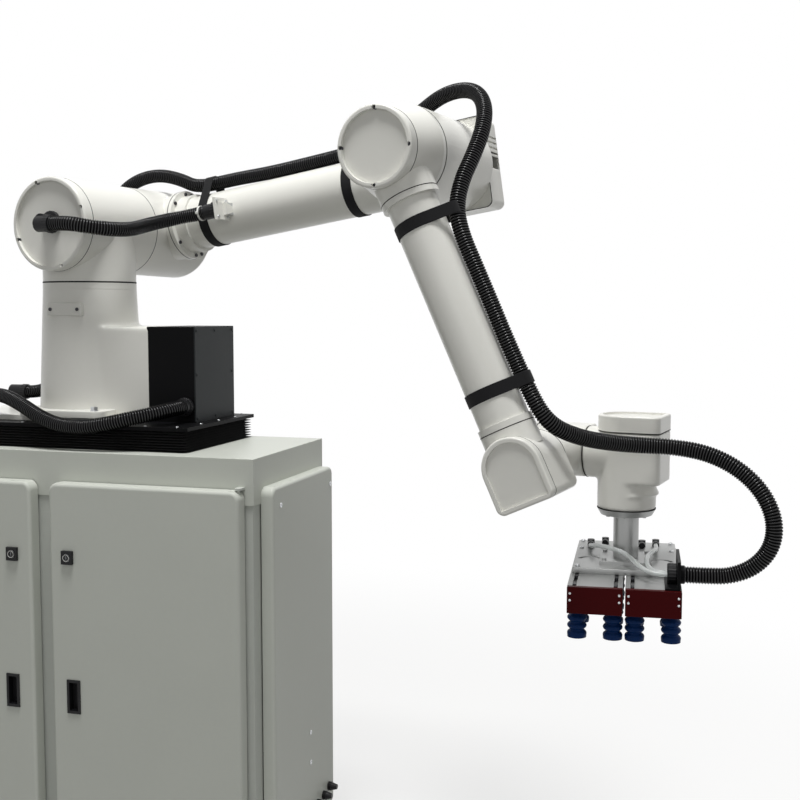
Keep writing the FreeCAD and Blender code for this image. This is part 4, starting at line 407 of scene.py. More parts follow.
class Shading:
    """Builds the shared shader groups and a material for each finish."""

    # The pale colour mixed in along edges: partly wear, partly a painted highlight.
    WEAR_AND_HIGHLIGHT = (0.85, 0.85, 0.85, 1.0)
    BROAD_CLOUDS = 5.0
    FINE_CLOUDS = 85.0
    COAT_ROUGHNESS = 0.12
    EDGE_START = 0.995
    EDGE_FULL = 0.80

    def __init__(self) -> None:
        self._materials: dict[str, bpy.types.Material] = {}
        self._mottle = self._mottle_group()
        self._grain = self._grain_group()

    def material(self, choice: Finishes) -> bpy.types.Material:
        """Returns the material of a finish, made on first use.

        Args:
            choice: The finish.

        Returns:
            Its material.
        """
        finish: Finish = choice.value
        if finish.name not in self._materials:
            self._materials[finish.name] = self._build(finish)
        return self._materials[finish.name]

    @staticmethod
    def _new_group(name: str, inputs: dict[str, float | tuple], outputs: dict[str, str]
                   ) -> tuple[Graph, bpy.types.Node, bpy.types.Node]:
        """Starts a shader group with named inputs and outputs.

        Args:
            name: Name of the group.
            inputs: The default of each input, a tuple for a colour.
            outputs: The socket type of each output.

        Returns:
            The group's graph, and its nodes for the inputs and the outputs.
        """
        tree = bpy.data.node_groups.new(name, "ShaderNodeTree")
        for label, default in inputs.items():
            kind = "NodeSocketColor" if isinstance(default, tuple) else "NodeSocketFloat"
            socket = tree.interface.new_socket(label, in_out="INPUT", socket_type=kind)
            socket.default_value = default
        for label, kind in outputs.items():
            tree.interface.new_socket(label, in_out="OUTPUT", socket_type=kind)
        return Graph(tree), tree.nodes.new("NodeGroupInput"), tree.nodes.new("NodeGroupOutput")

    def _mottle_group(self) -> bpy.types.NodeTree:
        """Two scales of soft cloudiness for colour and roughness, and lighter edges, partly wear
        and partly a painted highlight.
        """
        graph, source, sink = self._new_group(
            "soft_mottle",
            {"Colour": (0.8, 0.8, 0.8, 1.0), "Amount": 0.03, "Roughness": 0.4,
             "Spread": 0.1, "Edge": 0.0, "Wear and highlight": 0.0},
            {"Colour": "NodeSocketColor", "Roughness": "NodeSocketFloat"})
        place = graph.node("TexCoord").outputs["Object"]
        broad = graph.node("TexNoise", Vector=place, Scale=self.BROAD_CLOUDS,
                           Detail=3.0).outputs["Fac"]
        fine = graph.node("TexNoise", Vector=place, Scale=self.FINE_CLOUDS,
                          Detail=4.0).outputs["Fac"]
        cloud = graph.math("SUBTRACT", graph.math("MULTIPLY_ADD", fine, 0.5, broad), 0.75)
        amount = graph.math("MULTIPLY", cloud, source.outputs["Amount"])
        tinted = graph.vector("SCALE", source.outputs["Colour"])
        graph.feed(tinted.inputs["Scale"], graph.math("MULTIPLY_ADD", amount, 4.0, 1.0))
        # Lighter edges: partly wear, partly a painted highlight.
        wear_and_highlight = graph.math("MULTIPLY", source.outputs["Wear and highlight"], source.outputs["Edge"])
        patchy = graph.math("MULTIPLY", wear_and_highlight, graph.math("ADD", fine, 0.25), clamp=True)
        colour = graph.mixed(patchy, tinted.outputs["Vector"], self.WEAR_AND_HIGHLIGHT)
        graph.feed(sink.inputs["Colour"], colour)
        spread = graph.math("MULTIPLY", cloud, source.outputs["Spread"])
        graph.feed(sink.inputs["Roughness"],
                   graph.math("ADD", spread, source.outputs["Roughness"], clamp=True))
        return graph.tree

    def _grain_group(self) -> bpy.types.NodeTree:
        """A fine raised texture, stretched along z on drawn and ground surfaces."""
        graph, source, sink = self._new_group(
            "fine_grain", {"Size": 0.002, "Depth": 0.00003, "Stretch": 1.0},
            {"Height": "NodeSocketFloat"})
        along = graph.math("DIVIDE", 1.0, source.outputs["Stretch"])
        shape = graph.node("CombineXYZ", X=1.0, Y=1.0, Z=along).outputs[0]
        place = graph.node("TexCoord").outputs["Object"]
        scaled = graph.vector("MULTIPLY", place, shape).outputs["Vector"]
        rate = graph.math("DIVIDE", 1.0, source.outputs["Size"])
        noise = graph.node("TexNoise", Vector=scaled, Scale=rate, Detail=2.0).outputs["Fac"]
        graph.feed(sink.inputs["Height"],
                   graph.math("MULTIPLY", noise, source.outputs["Depth"]))
        return graph.tree

    def _build(self, finish: Finish) -> bpy.types.Material:
        """Makes the material of a finish."""
        material = bpy.data.materials.new(finish.name)
        material.use_nodes = True
        graph = Graph(material.node_tree)
        shader = material.node_tree.nodes["Principled BSDF"]
        constants = {"Metallic": finish.metallic, "Coat Weight": finish.coat,
                     "Coat Roughness": self.COAT_ROUGHNESS, "Sheen Weight": finish.sheen,
                     "Specular IOR Level": finish.shine,
                     "Transmission Weight": finish.see_through,
                     "IOR": 1.40 if finish.see_through else 1.45}
        for label, value in constants.items():
            graph.feed(shader.inputs[label], value)
        mottle = graph.group(self._mottle, Colour=(*finish.colour, 1.0), Amount=finish.mottle,
                             Roughness=finish.roughness, Spread=finish.rough_spread,
                             Edge=finish.edge_wear_and_highlight)
        grain = graph.group(self._grain, Size=finish.grain_size, Depth=finish.grain_depth,
                            Stretch=finish.stretch)
        bump = graph.node("Bump", Distance=1.0, Height=grain.outputs["Height"])
        if finish.bevel:
            bevel = graph.node("Bevel", Radius=finish.bevel)
            bevel.samples = 4
            graph.feed(bump.inputs["Normal"], bevel.outputs["Normal"])
            # A mask of the edges, which the mottle lightens: partly wear, partly a painted
            # highlight.
            if finish.edge_wear_and_highlight:
                flat = graph.node("NewGeometry").outputs["Normal"]
                level = graph.vector("DOT_PRODUCT", bevel.outputs["Normal"], flat)
                wear_and_highlight = graph.node("MapRange", Value=level.outputs["Value"],
                                  From_Min=self.EDGE_START, From_Max=self.EDGE_FULL)
                graph.feed(mottle.inputs["Wear and highlight"], wear_and_highlight.outputs["Result"])
        graph.feed(shader.inputs["Base Color"], mottle.outputs["Colour"])
        graph.feed(shader.inputs["Roughness"], mottle.outputs["Roughness"])
        graph.feed(shader.inputs["Normal"], bump.outputs["Normal"])
        return material


class Builder:
    """Makes mesh pieces from simple forms and sets them on their bodies."""

    def __init__(self, shading: Shading) -> None:
        self.shading = shading

    def piece(self, name: str, mesh: bmesh.types.BMesh, finish: Finishes,
              frame: Matrix | None = None, smooth_angle: float = 35.0) -> bpy.types.Object:
        """Turns a bmesh into an object with its material.

        Args:
            name: Name of the object.
            mesh: The shape, freed afterwards.
            finish: The surface.
            frame: Where the shape stands.
            smooth_angle: Edges sharper than this many degrees stay sharp.

        Returns:
            The new object, in place and on no body yet.
        """
        if frame is not None:
            bmesh.ops.transform(mesh, matrix=frame, verts=mesh.verts)
        bmesh.ops.recalc_face_normals(mesh, faces=mesh.faces)
        limit = math.radians(smooth_angle)
        for face in mesh.faces:
            face.smooth = True
        for edge in mesh.edges:
            if len(edge.link_faces) == 2 and edge.calc_face_angle(0.0) > limit:
                edge.smooth = False
        data = bpy.data.meshes.new(name)
        mesh.to_mesh(data)
        mesh.free()
        item = bpy.data.objects.new(name, data)
        bpy.context.scene.collection.objects.link(item)
        data.materials.append(self.shading.material(finish))
        LOG.info("%s: %d faces of %s", name, len(data.polygons), finish.value.name)
        return item

    @staticmethod
    def band(mesh: bmesh.types.BMesh, outer: Outline, inner: Outline, low: float, high: float,
             frame: Matrix, rim: float = 0.0) -> None:
        """Adds a closed band between two outlines with as many points.

        Args:
            mesh: Where the band is added.
            outer: Its outer outline.
            inner: Its inner outline.
            low: Its lower level.
            high: Its upper level.
            frame: Where the outlines stand, z across the band.
            rim: How far its outer edges are softened.
        """
        slim = drawn_in(outer, rim)
        levels = ((inner, low), (slim, low), (outer, low + rim), (outer, high - rim),
                  (slim, high), (inner, high)) if rim else (
                      (inner, low), (outer, low), (outer, high), (inner, high))
        rings = [ring(mesh, line, level, frame) for line, level in levels]
        bridge(mesh, rings + rings[:1])

    @staticmethod
    def prism(mesh: bmesh.types.BMesh, outline: Outline, low: float, high: float,
              frame: Matrix, rim: float = 0.0) -> None:
        """Adds a closed prism on an outline round the frame's origin.

        Args:
            mesh: Where the prism is added.
            outline: Its outline.
            low: Its lower level.
            high: Its upper level.
            frame: Where the outline stands, z along the prism.
            rim: How far its upper edge is rounded.
        """
        levels = [(0.0, low), (0.0, high - rim)]
        levels += [(rim * (1 - math.cos(math.radians(a))),
                    high - rim + rim * math.sin(math.radians(a))) for a in (30, 60, 90)
                   if rim]
        rings = [ring(mesh, drawn_in(outline, inset), level, frame) for inset, level in levels]
        bridge(mesh, rings)
        cap(mesh, rings)

    def cut_plate(self, name: str, outlines: Sequence[Outline], low: float, high: float,
                  finish: Finishes, frame: Matrix, rim: float = 0.0005) -> bpy.types.Object:
        """Makes a flat plate from its outline and its holes, with softened rims.

        Args:
            name: Name of the piece.
            outlines: The plate's outline and those of its holes.
            low: Its lower level.
            high: Its upper level.
            finish: The surface.
            frame: Where the outlines stand, z across the plate.
            rim: Radius of its rims.

        Returns:
            The plate, on no body yet.
        """
        curve = bpy.data.curves.new(name, "CURVE")
        curve.dimensions = "2D"
        curve.fill_mode = "BOTH"
        curve.extrude = (high - low) / 2 - rim
        curve.bevel_depth = rim
        curve.bevel_resolution = 1
        curve.offset = -rim
        for outline in outlines:
            spline = curve.splines.new("POLY")
            spline.points.add(len(outline) - 1)
            for control, (across, up) in zip(spline.points, outline):
                control.co = (across, up, 0.0, 1.0)
            spline.use_cyclic_u = True
        holder = bpy.data.objects.new(name + "_outline", curve)
        bpy.context.scene.collection.objects.link(holder)
        bpy.context.view_layer.update()
        mesh = taken(bpy.data.meshes.new_from_object(holder))
        bpy.data.objects.remove(holder)
        bpy.data.curves.remove(curve)
        bmesh.ops.remove_doubles(mesh, verts=mesh.verts, dist=0.000002)
        lift = Matrix.Translation((0.0, 0.0, (low + high) / 2))
        return self.piece(name, mesh, finish, frame @ lift)

    @staticmethod
    def turned(mesh: bmesh.types.BMesh, profile: Sequence[tuple[float, float]],
               frame: Matrix, steps: int = 32) -> None:
        """Adds a turned shape: radius and height pairs swept round the frame's z axis.

        Args:
            mesh: Where the shape is added.
            profile: Pairs of radius and height, the first and last on or near the axis.
            frame: Where the shape stands.
            steps: Facets round the axis.
        """
        rings = [ring(mesh, circle(radius, steps) if radius else [(0.0, 0.0)], height, frame)
                 for radius, height in profile]
        for low, high in zip(rings, rings[1:]):
            for k in range(steps):
                n = (k + 1) % steps
                corners = [low[k % len(low)], low[n % len(low)],
                           high[n % len(high)], high[k % len(high)]]
                unique = list(dict.fromkeys(corners))
                if len(unique) >= 3:
                    mesh.faces.new(unique)

    @staticmethod
    def rounded_box(mesh: bmesh.types.BMesh, low: Point, high: Point, bevel: float,
                    frame: Matrix | None = None) -> None:
        """Adds a block with rounded edges.

        Args:
            mesh: Where the block is added.
            low: Its lowest corner.
            high: Its highest corner.
            bevel: Radius of its edges.
            frame: Where the block stands.
        """
        lowest, highest = Vector(low), Vector(high)
        middle = (lowest + highest) / 2
        size = highest - lowest
        block = bmesh.new()
        bmesh.ops.create_cube(block, size=1.0)
        bmesh.ops.transform(block, matrix=Matrix.Translation(middle)
                            @ Matrix.Diagonal((*size, 1.0)), verts=block.verts)
        bmesh.ops.bevel(block, geom=block.edges[:], offset=bevel, segments=3, profile=0.5,
                        affect="EDGES")
        if frame is not None:
            bmesh.ops.transform(block, matrix=frame, verts=block.verts)
        data = bpy.data.meshes.new("block")
        block.to_mesh(data)
        block.free()
        mesh.from_mesh(data)
        bpy.data.meshes.remove(data)


def circle(radius: float, count: int = 72) -> Outline:
    """The outline of a circle."""
    return [(radius * math.cos(2 * math.pi * k / count),
             radius * math.sin(2 * math.pi * k / count)) for k in range(count)]


def drawn_in(outline: Outline, inset: float) -> Outline:
    """An outline with every point drawn in towards the origin."""
    return [(x - inset * x / math.hypot(x, y), y - inset * y / math.hypot(x, y))
            for x, y in outline]


def ring(mesh: bmesh.types.BMesh, outline: Outline, level: float, frame: Matrix) -> Ring:
    """Adds the points of an outline at a level of a frame."""
    return [mesh.verts.new(frame @ Vector((x, y, level))) for x, y in outline]


def bridge(mesh: bmesh.types.BMesh, rings: Sequence[Ring]) -> None:
    """Joins each ring of points to the next, face by face.

    Args:
        mesh: The rings' mesh.
        rings: Rings with as many points each.
    """
    for low, high in zip(rings, rings[1:]):
        for k in range(len(low)):
            n = (k + 1) % len(low)
            mesh.faces.new((low[k], low[n], high[n], high[k]))


def cap(mesh: bmesh.types.BMesh, rings: Sequence[Ring]) -> None:
    """Closes the first and the last ring of points with a face each."""
    mesh.faces.new(list(reversed(rings[0])))
    mesh.faces.new(rings[-1])


def corner_arcs(arcs: Iterable[tuple[float, float, float, float, float, int]]) -> Outline:
    """The outline that joins arcs: centre, radius, first and last angle and steps of each."""
    return [(x + radius * math.cos(math.radians(first + (last - first) * k / steps)),
             y + radius * math.sin(math.radians(first + (last - first) * k / steps)))
            for x, y, radius, first, last, steps in arcs for k in range(steps + 1)]


def flat_ended(radius: float, flat: float, corner: float = 0.016) -> Outline:
    """The outline of a casting that is round towards -x and flat at the other end.

    Args:
        radius: Radius of its round end, round the origin.
        flat: The flat end's distance from the origin.
        corner: Radius of its two corners.

    Returns:
        Its points, anticlockwise.
    """
    x, y = flat - corner, radius - corner
    return corner_arcs(((0.0, 0.0, radius, 90, 270, 40), (x, -y, corner, 270, 360, 8),
                        (x, y, corner, 0, 90, 8)))


def rounded(x0: float, x1: float, y0: float, y1: float, corner: float) -> Outline:
    """The outline of a rectangle with rounded corners."""
    a, b, c, d = x0 + corner, x1 - corner, y0 + corner, y1 - corner
    return corner_arcs(((b, d, corner, 0, 90, 5), (a, d, corner, 90, 180, 5),
                        (a, c, corner, 180, 270, 5), (b, c, corner, 270, 360, 5)))


def ridged(radius: float, depth: float, ridges: int) -> Outline:
    """The outline of a nut with grip ridges."""
    heights = (0.0, 0.0, 1.0, 1.0)
    count = ridges * len(heights)
    return [((radius - depth * heights[k % 4]) * math.cos(2 * math.pi * k / count),
             (radius - depth * heights[k % 4]) * math.sin(2 * math.pi * k / count))
            for k in range(count)]


def turned_to(place: Point, across: Point, ahead: Point) -> Matrix:
    """A frame at a place whose x axis runs across and whose z axis looks ahead."""
    first, third = Vector(across), Vector(ahead)
    turn = Matrix((first, third.cross(first), third)).transposed().to_4x4()
    return Matrix.Translation(Vector(place)) @ turn


def taken(data: bpy.types.Mesh) -> bmesh.types.BMesh:
    """Takes a mesh over as a bmesh and removes it."""
    mesh = bmesh.new()
    mesh.from_mesh(data)
    bpy.data.meshes.remove(data)
    return mesh


def filleted(item: bpy.types.Object, voxel: float, rounds: int) -> bmesh.types.BMesh:
    """Runs the forms of an object together and softens its edges and inner corners.

    Args:
        item: The object, removed afterwards.
        voxel: Size of the new mesh's squares.
        rounds: How often the mesh is relaxed.

    Returns:
        The softened form.
    """
    weld = item.modifiers.new("weld", "REMESH")
    weld.mode = "VOXEL"
    weld.voxel_size = voxel
    fillet = item.modifiers.new("fillet", "SMOOTH")
    fillet.factor = 0.5
    fillet.iterations = rounds
    bpy.context.view_layer.update()
    graph = bpy.context.evaluated_depsgraph_get()
    data = bpy.data.meshes.new_from_object(item.evaluated_get(graph))
    bpy.data.objects.remove(item)
    data.materials.clear()
    return taken(data)


def facing(place: Vector | Point, ahead: Vector | Point) -> Matrix:
    """A frame at a place whose z axis looks ahead.

    Args:
        place: The frame's origin.
        ahead: The direction of its z axis.

    Returns:
        The frame.
    """
    turn = Vector(ahead).normalized().to_track_quat("Z", "Y").to_matrix().to_4x4()
    return Matrix.Translation(Vector(place)) @ turn


@dataclass(frozen=True)
class ScrewSize:
    """A socket-head screw: head radius and height, and its socket's radius and depth."""

    head: float = 0.0042
    height: float = 0.0030
    socket: float = 0.0019
    sunk: float = 0.0016


@dataclass(frozen=True)
class Screws:
    """Socket-head screws, several of them as one piece."""

    builder: Builder
    size: ScrewSize = ScrewSize()
    steps: int = 24
    rim_share: float = 0.22

    def hexagon(self, level: float) -> Outline:
        """The outline of the socket, with as many points as the head's."""
        corners = [Vector((x, y, level)) for x, y in circle(self.size.socket, 6)]
        side = self.steps // 6
        return [tuple(corners[n].lerp(corners[(n + 1) % 6], s / side).xy)
                for n in range(6) for s in range(side)]

    def add(self, mesh: bmesh.types.BMesh, frame: Matrix) -> None:
        """Adds one screw whose head stands up from the frame's origin along its z axis."""
        size = self.size
        rim = size.height * self.rim_share
        outer = ((size.head, 0.0), (size.head, size.height - rim), (size.head - rim, size.height))
        rings = [ring(mesh, circle(radius, self.steps), level, frame) for radius, level in outer]
        rings += [ring(mesh, self.hexagon(level), level, frame)
                  for level in (size.height, size.height - size.sunk)]
        bridge(mesh, rings)
        cap(mesh, rings)

    def group(self, name: str, frames: Iterable[Matrix], body: str,
              finish: Finishes = Finishes.DARK_STEEL) -> bpy.types.Object:
        """Makes one piece of several screws.

        Args:
            name: Name of the piece.
            frames: One frame for each screw.
            body: The body that it rides.
            finish: The surface.

        Returns:
            The piece.
        """
        mesh = bmesh.new()
        for frame in frames:
            self.add(mesh, frame)
        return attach(self.builder.piece(name, mesh, finish), body)


@dataclass(frozen=True)
class Corrugation:
    """The rings of a corrugated hose: depth, spacing, shape, how far below the crest the painted
    groove shade begins, and facets round it.
    """

    depth: float = 0.0025
    pitch: float = 0.0058
    shape: tuple[float, ...] = (0.0, 0.0, 0.85, 1.0, 0.85)
    # How far below the crest the grooves take the painted shade.
    groove_shade: float = 0.0006
    around: int = 24


@dataclass(frozen=True)
class PlainTube:
    """A tube without rings: the spacing of its points and facets round it."""

    step: float = 0.004
    around: int = 16


@dataclass(frozen=True)
class Stretch:
    """A stretch of a hose between two bodies.

    Attributes:
        name: Name of the piece.
        until: Share of the hose's length at which it ends.
        bodies: The two bodies, or one if it moves with that alone.
        start: Where it would begin to follow the second body, in the route's frame; not used.
        end: From where it would follow the second body wholly; not used.
    """

    name: str
    until: float
    bodies: tuple[str, ...]
    start: Point = (0.0, 0.0, 0.0)
    end: Point = (0.0, 0.0, 0.0)


@dataclass(frozen=True)
class HoseRoute:
    """A hose's route in its frame, the node that it replaces and its stretches."""

    node: str
    points: tuple[Point, ...]
    stretches: tuple[Stretch, ...]
    ringed: bool = True
    radius: float = HOSE_RADIUS


JUNCTION_HOSE = HoseRoute(
    "junction_hose",
    ((0.291, -0.0912, 0.037), (0.291, -0.118, 0.037), (0.268, -0.158, 0.030),
     (0.220, -0.191, 0.020), (0.168, -0.207, 0.007), (0.105, -0.212, -0.003),
     (0.040, -0.208, 0.000), (-0.018, -0.197, 0.017), (-0.074, -0.180, 0.041),
     (-0.126, -0.158, 0.056), (-0.174, -0.128, 0.060), (-0.222, -0.100, 0.056),
     (-0.2658, -0.100, 0.056)),
    (Stretch("junction_hose_run", 1.0, ("lift",)),),
)
SHOULDER_HOSE = HoseRoute(
    "shoulder_hose",
    ((0.0402, -0.1735, 0.131), (0.0864, -0.1735, 0.131), (0.1281, -0.1546, 0.123),
     (0.1572, -0.1213, 0.1185), (0.1682, -0.0780, 0.1190), (0.1615, -0.0332, 0.1240),
     (0.1466, 0.0087, 0.1310), (0.1420, 0.053, 0.1405), (0.1525, 0.0960, 0.1515),
     (0.1793, 0.1311, 0.162), (0.2199, 0.150, 0.1705), (0.2425, 0.150, 0.17385)),
    (Stretch("shoulder_hose_run", 1.0, ("turret", "upper_arm"),
             (0.0402, -0.1735, 0.131), (0.2425, 0.150, 0.17385)),),
)
BASE_HOSE = HoseRoute(
    "base_hose",
    ((-0.3111, 0.1072, -0.286), (-0.271, 0.1132, -0.286), (-0.228, 0.116, -0.260),
     (-0.198, 0.134, -0.206), (-0.176, 0.156, -0.140), (-0.160, 0.182, -0.070),
     (-0.152, 0.204, 0.000), (-0.147, 0.224, 0.074), (-0.144, 0.237, 0.134),
     (-0.134, 0.243, 0.186), (-0.100, 0.247, 0.244), (-0.044, 0.249, 0.277),
     (0.024, 0.249, 0.287), (0.092, 0.248, 0.273), (0.150, 0.247, 0.2473),
     (0.206, 0.247, 0.2556)),
    (Stretch("base_hose_rise", 0.45, ("lift", "turret"),
             (-0.290, 0.110, -0.286), (-0.150, 0.210, 0.030)),
     Stretch("base_hose_crossing", 1.0, ("turret", "upper_arm"),
             (-0.140, 0.240, 0.180), (0.180, 0.247, 0.2516))),
)
ARM_HOSE = HoseRoute(
    "arm_hose",
    ((0.2063, 0.247, 0.25565), (0.262, 0.247, 0.2639), (0.372, 0.248, 0.2748),
     (0.482, 0.2465, 0.2912), (0.582, 0.2466, 0.307), (0.668, 0.243, 0.326),
     (0.740, 0.227, 0.354), (0.806, 0.199, 0.386), (0.868, 0.167, 0.410),
     (0.930, 0.134, 0.414), (0.982, 0.098, 0.398), (1.014, 0.062, 0.360),
     (1.024, 0.026, 0.308), (1.016, -0.008, 0.250), (1.003, -0.040, 0.196),
     (1.000, -0.063, 0.138), (1.017, -0.0714, 0.084), (1.044, -0.071, 0.026),
     (1.0815, -0.0706, -0.0558), (1.1199, -0.071, -0.1408), (1.1578, -0.071, -0.217)),
    (Stretch("arm_hose_loop", 1.0, ("upper_arm", "forearm"),
             (0.740, 0.227, 0.354), (1.010, -0.071, 0.110)),),
)
WRIST_HOSE = HoseRoute(
    "wrist_hose",
    ((1.158, -0.071, -0.2174), (1.180, -0.0708, -0.2615), (1.209, -0.052, -0.300),
     (1.247, 0.000, -0.324), (1.292, 0.056, -0.338), (1.346, 0.098, -0.345),
     (1.412, 0.116, -0.347), (1.480, 0.114, -0.356), (1.5414, 0.108, -0.3825),
     (1.5887, 0.104, -0.4256), (1.6142, 0.102, -0.4807), (1.6098, 0.104, -0.5357),
     (1.5772, 0.106, -0.5787), (1.5309, 0.104, -0.6006), (1.4868, 0.0926, -0.6024),
     (1.444, 0.0825, -0.6019)),
    (Stretch("wrist_hose_first", 0.26, ("forearm", "wrist_one"),
             (1.180, -0.071, -0.262), (1.272, 0.032, -0.332)),
     Stretch("wrist_hose_second", 0.51, ("wrist_one", "wrist_two"),
             (1.300, 0.066, -0.340), (1.460, 0.115, -0.352)),
     Stretch("wrist_hose_third", 1.0, ("wrist_two", "tool"),
             (1.492, 0.112, -0.360), (1.470, 0.088, -0.602))),
)


AIR_TUBES = (
    HoseRoute("air_tubes",
              ((0.0848, -0.158, -0.226), (0.060, -0.158, -0.226), (0.032, -0.138, -0.219),
               (0.014, -0.098, -0.210), (-0.006, -0.056, -0.205), (-0.034, -0.018, -0.205),
               (-0.058, 0.022, -0.209), (-0.074, 0.062, -0.218), (-0.080, 0.096, -0.227),
               (-0.080, 0.1158, -0.2275)),
              (Stretch("air_tube_left", 1.0, ("tool",)),), False, 0.005),
    HoseRoute("air_tubes",
              ((0.0848, -0.142, -0.226), (0.066, -0.142, -0.226), (0.048, -0.122, -0.222),
               (0.043, -0.082, -0.216), (0.048, -0.036, -0.213), (0.058, 0.010, -0.215),
               (0.065, 0.056, -0.220), (0.066, 0.098, -0.2266), (0.066, 0.1408, -0.2275)),
              (Stretch("air_tube_right", 1.0, ("tool",)),), False, 0.005),
)


@dataclass(frozen=True)
class Hoses:
    """The corrugated hoses and the plain tubes, each on one smooth line."""

    builder: Builder
    rings: Corrugation = Corrugation()
    plain: PlainTube = PlainTube()

    @staticmethod
    def line(route: HoseRoute, frame: Matrix) -> list[Vector]:
        """Reads the points of the smooth line that the route's points control.

        Args:
            route: The route.
            frame: The frame of its points.

        Returns:
            Points along the line, close together.
        """
        curve = bpy.data.curves.new(route.node + "_line", "CURVE")
        curve.dimensions = "3D"
        curve.resolution_u = 24
        spline = curve.splines.new("NURBS")
        spline.points.add(len(route.points) - 1)
        for control, place in zip(spline.points, route.points):
            control.co = (*(frame @ Vector(place)), 1.0)
        spline.order_u = 3
        spline.use_endpoint_u = True
        holder = bpy.data.objects.new(curve.name, curve)
        bpy.context.scene.collection.objects.link(holder)
        bpy.context.view_layer.update()
        mesh = bpy.data.meshes.new_from_object(holder)
        points = [vertex.co.copy() for vertex in mesh.vertices]
        bpy.data.meshes.remove(mesh)
        bpy.data.objects.remove(holder)
        bpy.data.curves.remove(curve)
        return points

    @staticmethod
    def spaced(points: list[Vector], spacing: float) -> list[Vector]:
        """Spaces points evenly along a line, its two ends among them.

        Args:
            points: Points on the line, close together.
            spacing: About how far apart the new points lie.

        Returns:
            The new points.
        """
        lengths = [0.0]
        for first, second in zip(points, points[1:]):
            lengths.append(lengths[-1] + (second - first).length)
        count = max(2, round(lengths[-1] / spacing))
        result, here = [], 0
        for number in range(count + 1):
            target = lengths[-1] * number / count
            while here < len(points) - 2 and lengths[here + 1] < target:
                here += 1
            span = lengths[here + 1] - lengths[here]
            share = 0.0 if span < 1e-9 else (target - lengths[here]) / span
            result.append(points[here].lerp(points[here + 1], min(1.0, max(0.0, share))))
        return result

    def tube(self, name: str, path: list[Vector], radii: list[float], finish: Finishes,
             around: int) -> bpy.types.Object:
        """Makes a tube along a path with a radius for each of its points.

        Args:
            name: Name of the piece.
            path: Its centre line.
            radii: The radius at each point.
            finish: Its surface.
            around: Facets round it.

        Returns:
            The tube, closed at both ends, with painted shade in its grooves: a darker, duller
            finish.
        """
        mesh = bmesh.new()
        side = (path[1] - path[0]).normalized().orthogonal().normalized()
        rings: list[Ring] = []
        for number, (place, radius) in enumerate(zip(path, radii)):
            before = path[max(0, number - 1)]
            after = path[min(len(path) - 1, number + 1)]
            direction = (after - before).normalized()
            side = (side - direction * side.dot(direction)).normalized()
            up = direction.cross(side)
            rings.append([mesh.verts.new(place + side * x + up * y)
                          for x, y in circle(radius, around)])
        bridge(mesh, rings)
        # Faces below the crest take the second finish: painted shade in the grooves.
        limit = max(radii) - self.rings.groove_shade
        mesh.faces.ensure_lookup_table()
        for number, pair in enumerate(zip(radii, radii[1:])):
            for face in mesh.faces[number * around:(number + 1) * around]:
                face.material_index = int(min(pair) < limit)
        cap(mesh, rings)
        piece = self.builder.piece(name, mesh, finish, smooth_angle=80.0)
        piece.data.materials.append(self.builder.shading.material(Finishes.HOSE_GROOVE_SHADE))
        return piece

    def lay(self, route: HoseRoute, frame: Matrix, finish: Finishes) -> None:
        """Makes every stretch of a hose: one with a single body rides it, one between two bodies
        stays where it is laid.

        Args:
            route: The hose.
            frame: The frame of its points.
            finish: Its surface.
        """
        rings, plain = self.rings, self.plain
        shape = rings.shape if route.ringed else (1.0,)
        step = rings.pitch / len(rings.shape) if route.ringed else plain.step
        around = rings.around if route.ringed else plain.around
        path = self.spaced(self.line(route, frame), step)
        first = 0
        for stretch in route.stretches:
            last = round((len(path) - 1) * stretch.until)
            part = path[first:last + 1]
            radii = [route.radius - (1.0 - shape[number % len(shape)]) * rings.depth
                     for number in range(first, last + 1)]
            piece = self.tube(stretch.name, part, radii, finish, around)
            if len(stretch.bodies) == 2:
                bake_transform(piece)
            else:
                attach(piece, stretch.bodies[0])
            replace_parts(piece, route.node)
            first = last


@dataclass(frozen=True)
class StrapPlace:
    """A strap round a tube and the hose on it."""

    name: str
    along: float
    body: str


@dataclass(frozen=True)
class Straps:
    """Soft black straps that hold the hose on the arm's tubes."""

    builder: Builder
    width: float = 0.026
    thickness: float = 0.0022
    slack: float = 0.0004
    edge: float = 0.0006
    count: int = 96

    @staticmethod
    def outline(tube: float, hose: float, lift: float, count: int) -> list[tuple[float, float]]:
        """The tight closed line round a tube and a hose above it.

        Args:
            tube: Radius of the tube round the origin.
            hose: Radius of the hose.
            lift: Height of the hose's centre above the tube's centre.
            count: Points on the line.

        Returns:
            Points across and up.
        """
        tilt = math.asin(min(1.0, (tube - hose) / lift))
        points: list[tuple[float, float]] = []
        for number in range(count):
            angle = 2 * math.pi * number / count
            across, up = math.cos(angle), math.sin(angle)
            if up > math.sin(tilt):
                points.append((hose * across, lift + hose * up))
            else:
                points.append((tube * across, tube * up))
        return points

    def wrap(self, place: StrapPlace, frame: Matrix, centre: float, tube: float,
             lift: float) -> bpy.types.Object:
        """Makes one strap round the tube and the hose.

        Args:
            place: Its name, its place along the tube and its body.
            frame: The arm's frame, x along the tube and z towards the hose.
            centre: The tube's place across.
            tube: The tube's radius.
            lift: The hose's centre above the tube's.

        Returns:
            The strap.
        """
        inner = self.outline(tube + self.slack, HOSE_RADIUS + self.slack, lift, self.count)
        outer = self.outline(tube + self.thickness, HOSE_RADIUS + self.thickness, lift,
                             self.count)
        half = self.width / 2
        mesh = bmesh.new()
        levels = ((inner, -half), (outer, -half + self.edge), (outer, -half * 0.4),
                  (outer, half * 0.4), (outer, half - self.edge), (inner, half))
        rings = [[mesh.verts.new((place.along + level, centre + across, up))
                  for across, up in line] for line, level in levels]
        bridge(mesh, rings + rings[:1])
        strap = self.builder.piece(place.name, mesh, Finishes.STRAP_WEBBING, frame)
        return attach(strap, place.body)


@dataclass(frozen=True)
class RibbedNut:
    """The grip ring of a hose gland.

    Attributes:
        body: The body that it rides.
        link: The link whose frame its place is in.
        place: The ring's first end.
        ahead: The direction in which it runs.
        radius: Its outer radius.
        length: Its length.
    """

    body: str
    link: str
    place: Point
    ahead: Point
    radius: float
    length: float


